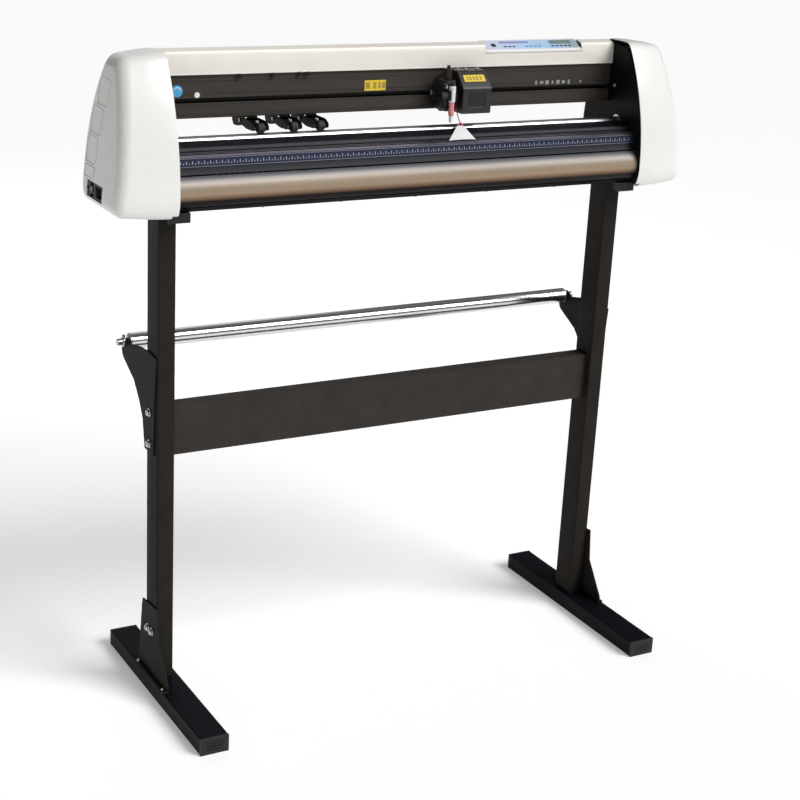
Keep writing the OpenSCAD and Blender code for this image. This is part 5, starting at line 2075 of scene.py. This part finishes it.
        ribs.transform(Matrix.Translation((low.x + 1.5 * MM, (low.y + high.y) / 2, z)) @ Axis.X.turn())
        piece("holder_knob_ribs", ribs, BLACK_PLASTIC, "holder_knob")

    def tag_on_its_string(self) -> None:
        """The paper transit tag on its red string, which hangs from the lifting unit."""
        middle = (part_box("tag_string")[0].x + 14.8 * MM, HEAD_Y, HEAD_Z)
        route = [Vector([c * MM + m for c, m in zip(spot, middle)]) for spot in self.string_route]
        string = piece(
            "red_string", tube(route, self.string_radius, 12), THREAD_RED, "carriage",
            replaces=["tag_string"],
        )
        apex = Vector([c * MM + m for c, m in zip(self.tag_apex, middle)])
        place = Matrix.Translation(apex) @ Matrix.Rotation(self.tag_slope, 4, "X")
        tag = piece(
            "paper_tag", self.paper().moved(place), PAPER, "carriage", Edge(angle=60), ["transit_tag"]
        )
        turns = [math.tau * t / 16 for t in range(17)]
        ring = [
            Vector(
                (4.2 * MM * math.cos(turn), -2.5 * MM, 1.9 * MM + 1.3 * MM * math.sin(turn))
            ) for turn in turns
        ]
        knot = tube(ring, 1.1 * MM, 8) + rod(-1.6 * MM, 2.2 * MM, 2.2 * MM, 0.8 * MM, 16).at(
            0, -1.2 * MM, 2.2 * MM, Axis.Y
        )
        knot = knot.moved(place)
        tied = piece("tag_knot", knot, KNOT_MAGENTA, "carriage")

    def paper(self) -> Shape:
        """The tag: a paper triangle with a blunt apex, a little curled, from its apex at the origin.

        Returns:
            A closed shape.
        """
        columns, rows = 10, 8
        thick = 0.5 * MM
        shape = Shape()
        for layer in (0.0, thick):
            for row in range(rows + 1):
                v = row / rows
                half = 4 * MM + (self.tag_width / 2 - 4 * MM) * v
                for column in range(columns + 1):
                    u = 2 * column / columns - 1
                    curl = 1.2 * MM * v * (1 - u * u)
                    shape.points.append(
                        Vector((self.tag_skew * v + u * half, -self.tag_length * v, layer + curl))
                    )
        stride = columns + 1
        size = stride * (rows + 1)
        for row in range(rows):
            for column in range(columns):
                a = row * stride + column
                quad = (a, a + 1, a + 1 + stride, a + stride)
                shape.faces += [quad, tuple(i + size for i in reversed(quad))]
        rim = list(range(stride)) + [r * stride + columns for r in range(1, rows + 1)]
        rim += [rows * stride + c for c in range(columns - 1, -1, -1)] + [
            r * stride for r in range(rows - 1, 0, -1)
        ]
        for a, b in zip(rim, rim[1:] + rim[:1]):
            shape.faces.append((a, b, b + size, a + size))
        return shape


# ---- studio ---------------------------------------------------------------------------------------------


@dataclass
class Studio:
    """Camera, soft lights, world and floor."""

    lens: float = 76.67
    place: tuple[float, float, float] = (-1.4062, -2.4536, 1.4724)
    yaw: float = math.radians(29.9)
    pitch: float = math.radians(19.2)
    roll: float = math.radians(3.1)
    floor_size: float = 60.0
    key: float = 2.9
    sky: float = 0.10
    key_place: tuple[float, float, float] = (2.2, -3.0, 4.2)
    rim: float = 14
    rim_size: float = 2.6
    rim_place: tuple[float, float, float] = (0.4, 3.2, 2.6)
    aim: tuple[float, float, float] = (0, 0, 0.8)
    floor_tone: float = 0.93
    floor_glow: float = 0.27

    def build(self) -> None:
        """Sets up the whole studio."""
        self.camera()
        self.lights()
        self.world()
        self.floor()

    def camera(self) -> None:
        """The camera in front of the machine, to its left and a little above."""
        ahead = Vector((math.sin(self.yaw) * math.cos(self.pitch), math.cos(self.yaw) * math.cos(self.pitch),
                        -math.sin(self.pitch)))
        level = Vector((math.cos(self.yaw), -math.sin(self.yaw), 0))
        upright = level.cross(ahead)
        right = level * math.cos(self.roll) + upright * math.sin(self.roll)
        up = upright * math.cos(self.roll) - level * math.sin(self.roll)
        data = bpy.data.cameras.new("view")
        data.lens, data.sensor_width, data.clip_end = self.lens, 36.0, 100.0
        camera = bpy.data.objects.new("view", data)
        bpy.context.scene.collection.objects.link(camera)
        turn = Matrix((right, up, -ahead)).transposed().to_4x4()
        camera.matrix_world = Matrix.Translation(self.place) @ turn
        bpy.context.scene.camera = camera

    def lights(self) -> None:
        """A broad sun from the front right, and a soft panel behind that rims the upper edges."""
        sun = bpy.data.lights.new("key", "SUN")
        sun.energy, sun.angle = self.key, math.radians(35)
        panel = bpy.data.lights.new("rim", "AREA")
        panel.energy, panel.size = self.rim, self.rim_size
        for data, spot in ((sun, self.key_place), (panel, self.rim_place)):
            light = bpy.data.objects.new(data.name, data)
            light.location = spot
            aim = Vector(self.aim) - Vector(spot)
            light.rotation_euler = aim.to_track_quat("-Z", "Y").to_euler()
            bpy.context.scene.collection.objects.link(light)

    def world(self) -> None:
        """A pale sky that is brighter overhead, and plain white where the camera looks past the floor."""
        world = bpy.data.worlds.new("studio")
        bpy.context.scene.world = world
        world.use_nodes = True
        tree = world.node_tree
        sky, out = tree.nodes["Background"], tree.nodes["World Output"]
        split = tree.nodes.new("ShaderNodeSeparateXYZ")
        tree.links.new(tree.nodes.new("ShaderNodeTexCoord").outputs["Generated"], split.inputs[0])
        ramp = tree.nodes.new("ShaderNodeValToRGB")
        ramp.color_ramp.elements[0].color = (0.50, 0.50, 0.54, 1)
        ramp.color_ramp.elements[1].color = (1.6, 1.6, 1.6, 1)
        ramp.color_ramp.elements[1].position = 0.8
        tree.links.new(split.outputs["Z"], ramp.inputs["Fac"])
        tree.links.new(ramp.outputs["Color"], sky.inputs["Color"])
        sky.inputs["Strength"].default_value = self.sky
        white = tree.nodes.new("ShaderNodeBackground")
        white.inputs["Color"].default_value = (1, 1, 1, 1)
        white.inputs["Strength"].default_value = 1.0
        mix = tree.nodes.new("ShaderNodeMixShader")
        path = tree.nodes.new("ShaderNodeLightPath")
        tree.links.new(path.outputs["Is Camera Ray"], mix.inputs["Fac"])
        tree.links.new(sky.outputs[0], mix.inputs[1])
        tree.links.new(white.outputs[0], mix.inputs[2])
        tree.links.new(mix.outputs[0], out.inputs["Surface"])

    def floor(self) -> None:
        """A plain pale floor."""
        half = self.floor_size / 2
        mesh = bpy.data.meshes.new("floor")
        mesh.from_pydata(
            [(-half, -half, 0), (half, -half, 0), (half, half, 0), (-half, half, 0)], [], [(0, 1, 2, 3)]
        )
        floor = bpy.data.objects.new("floor", mesh)
        bpy.context.scene.collection.objects.link(floor)
        material = bpy.data.materials.new("floor_paint")
        material.use_nodes = True
        shader = material.node_tree.nodes["Principled BSDF"]
        shader.inputs["Base Color"].default_value = (*[self.floor_tone] * 3, 1)
        shader.inputs["Roughness"].default_value = 0.9
        shader.inputs["Emission Color"].default_value = (1, 1, 1, 1)
        shader.inputs["Emission Strength"].default_value = self.floor_glow
        mesh.materials.append(material)


def main() -> None:
    """Builds the studio and every sub-assembly."""
    logging.basicConfig(level=logging.INFO, format="%(name)s: %(message)s")
    bpy.context.scene.view_settings.view_transform = "Standard"
    Studio().build()
    shop = Workshop()
    for assembly in (Stand, Head, Rail, Bed, Drive, PinchRollers, Carriage):
        assembly(shop).build()
    bpy.context.view_layer.update()


if __name__ == "__main__":
    main()
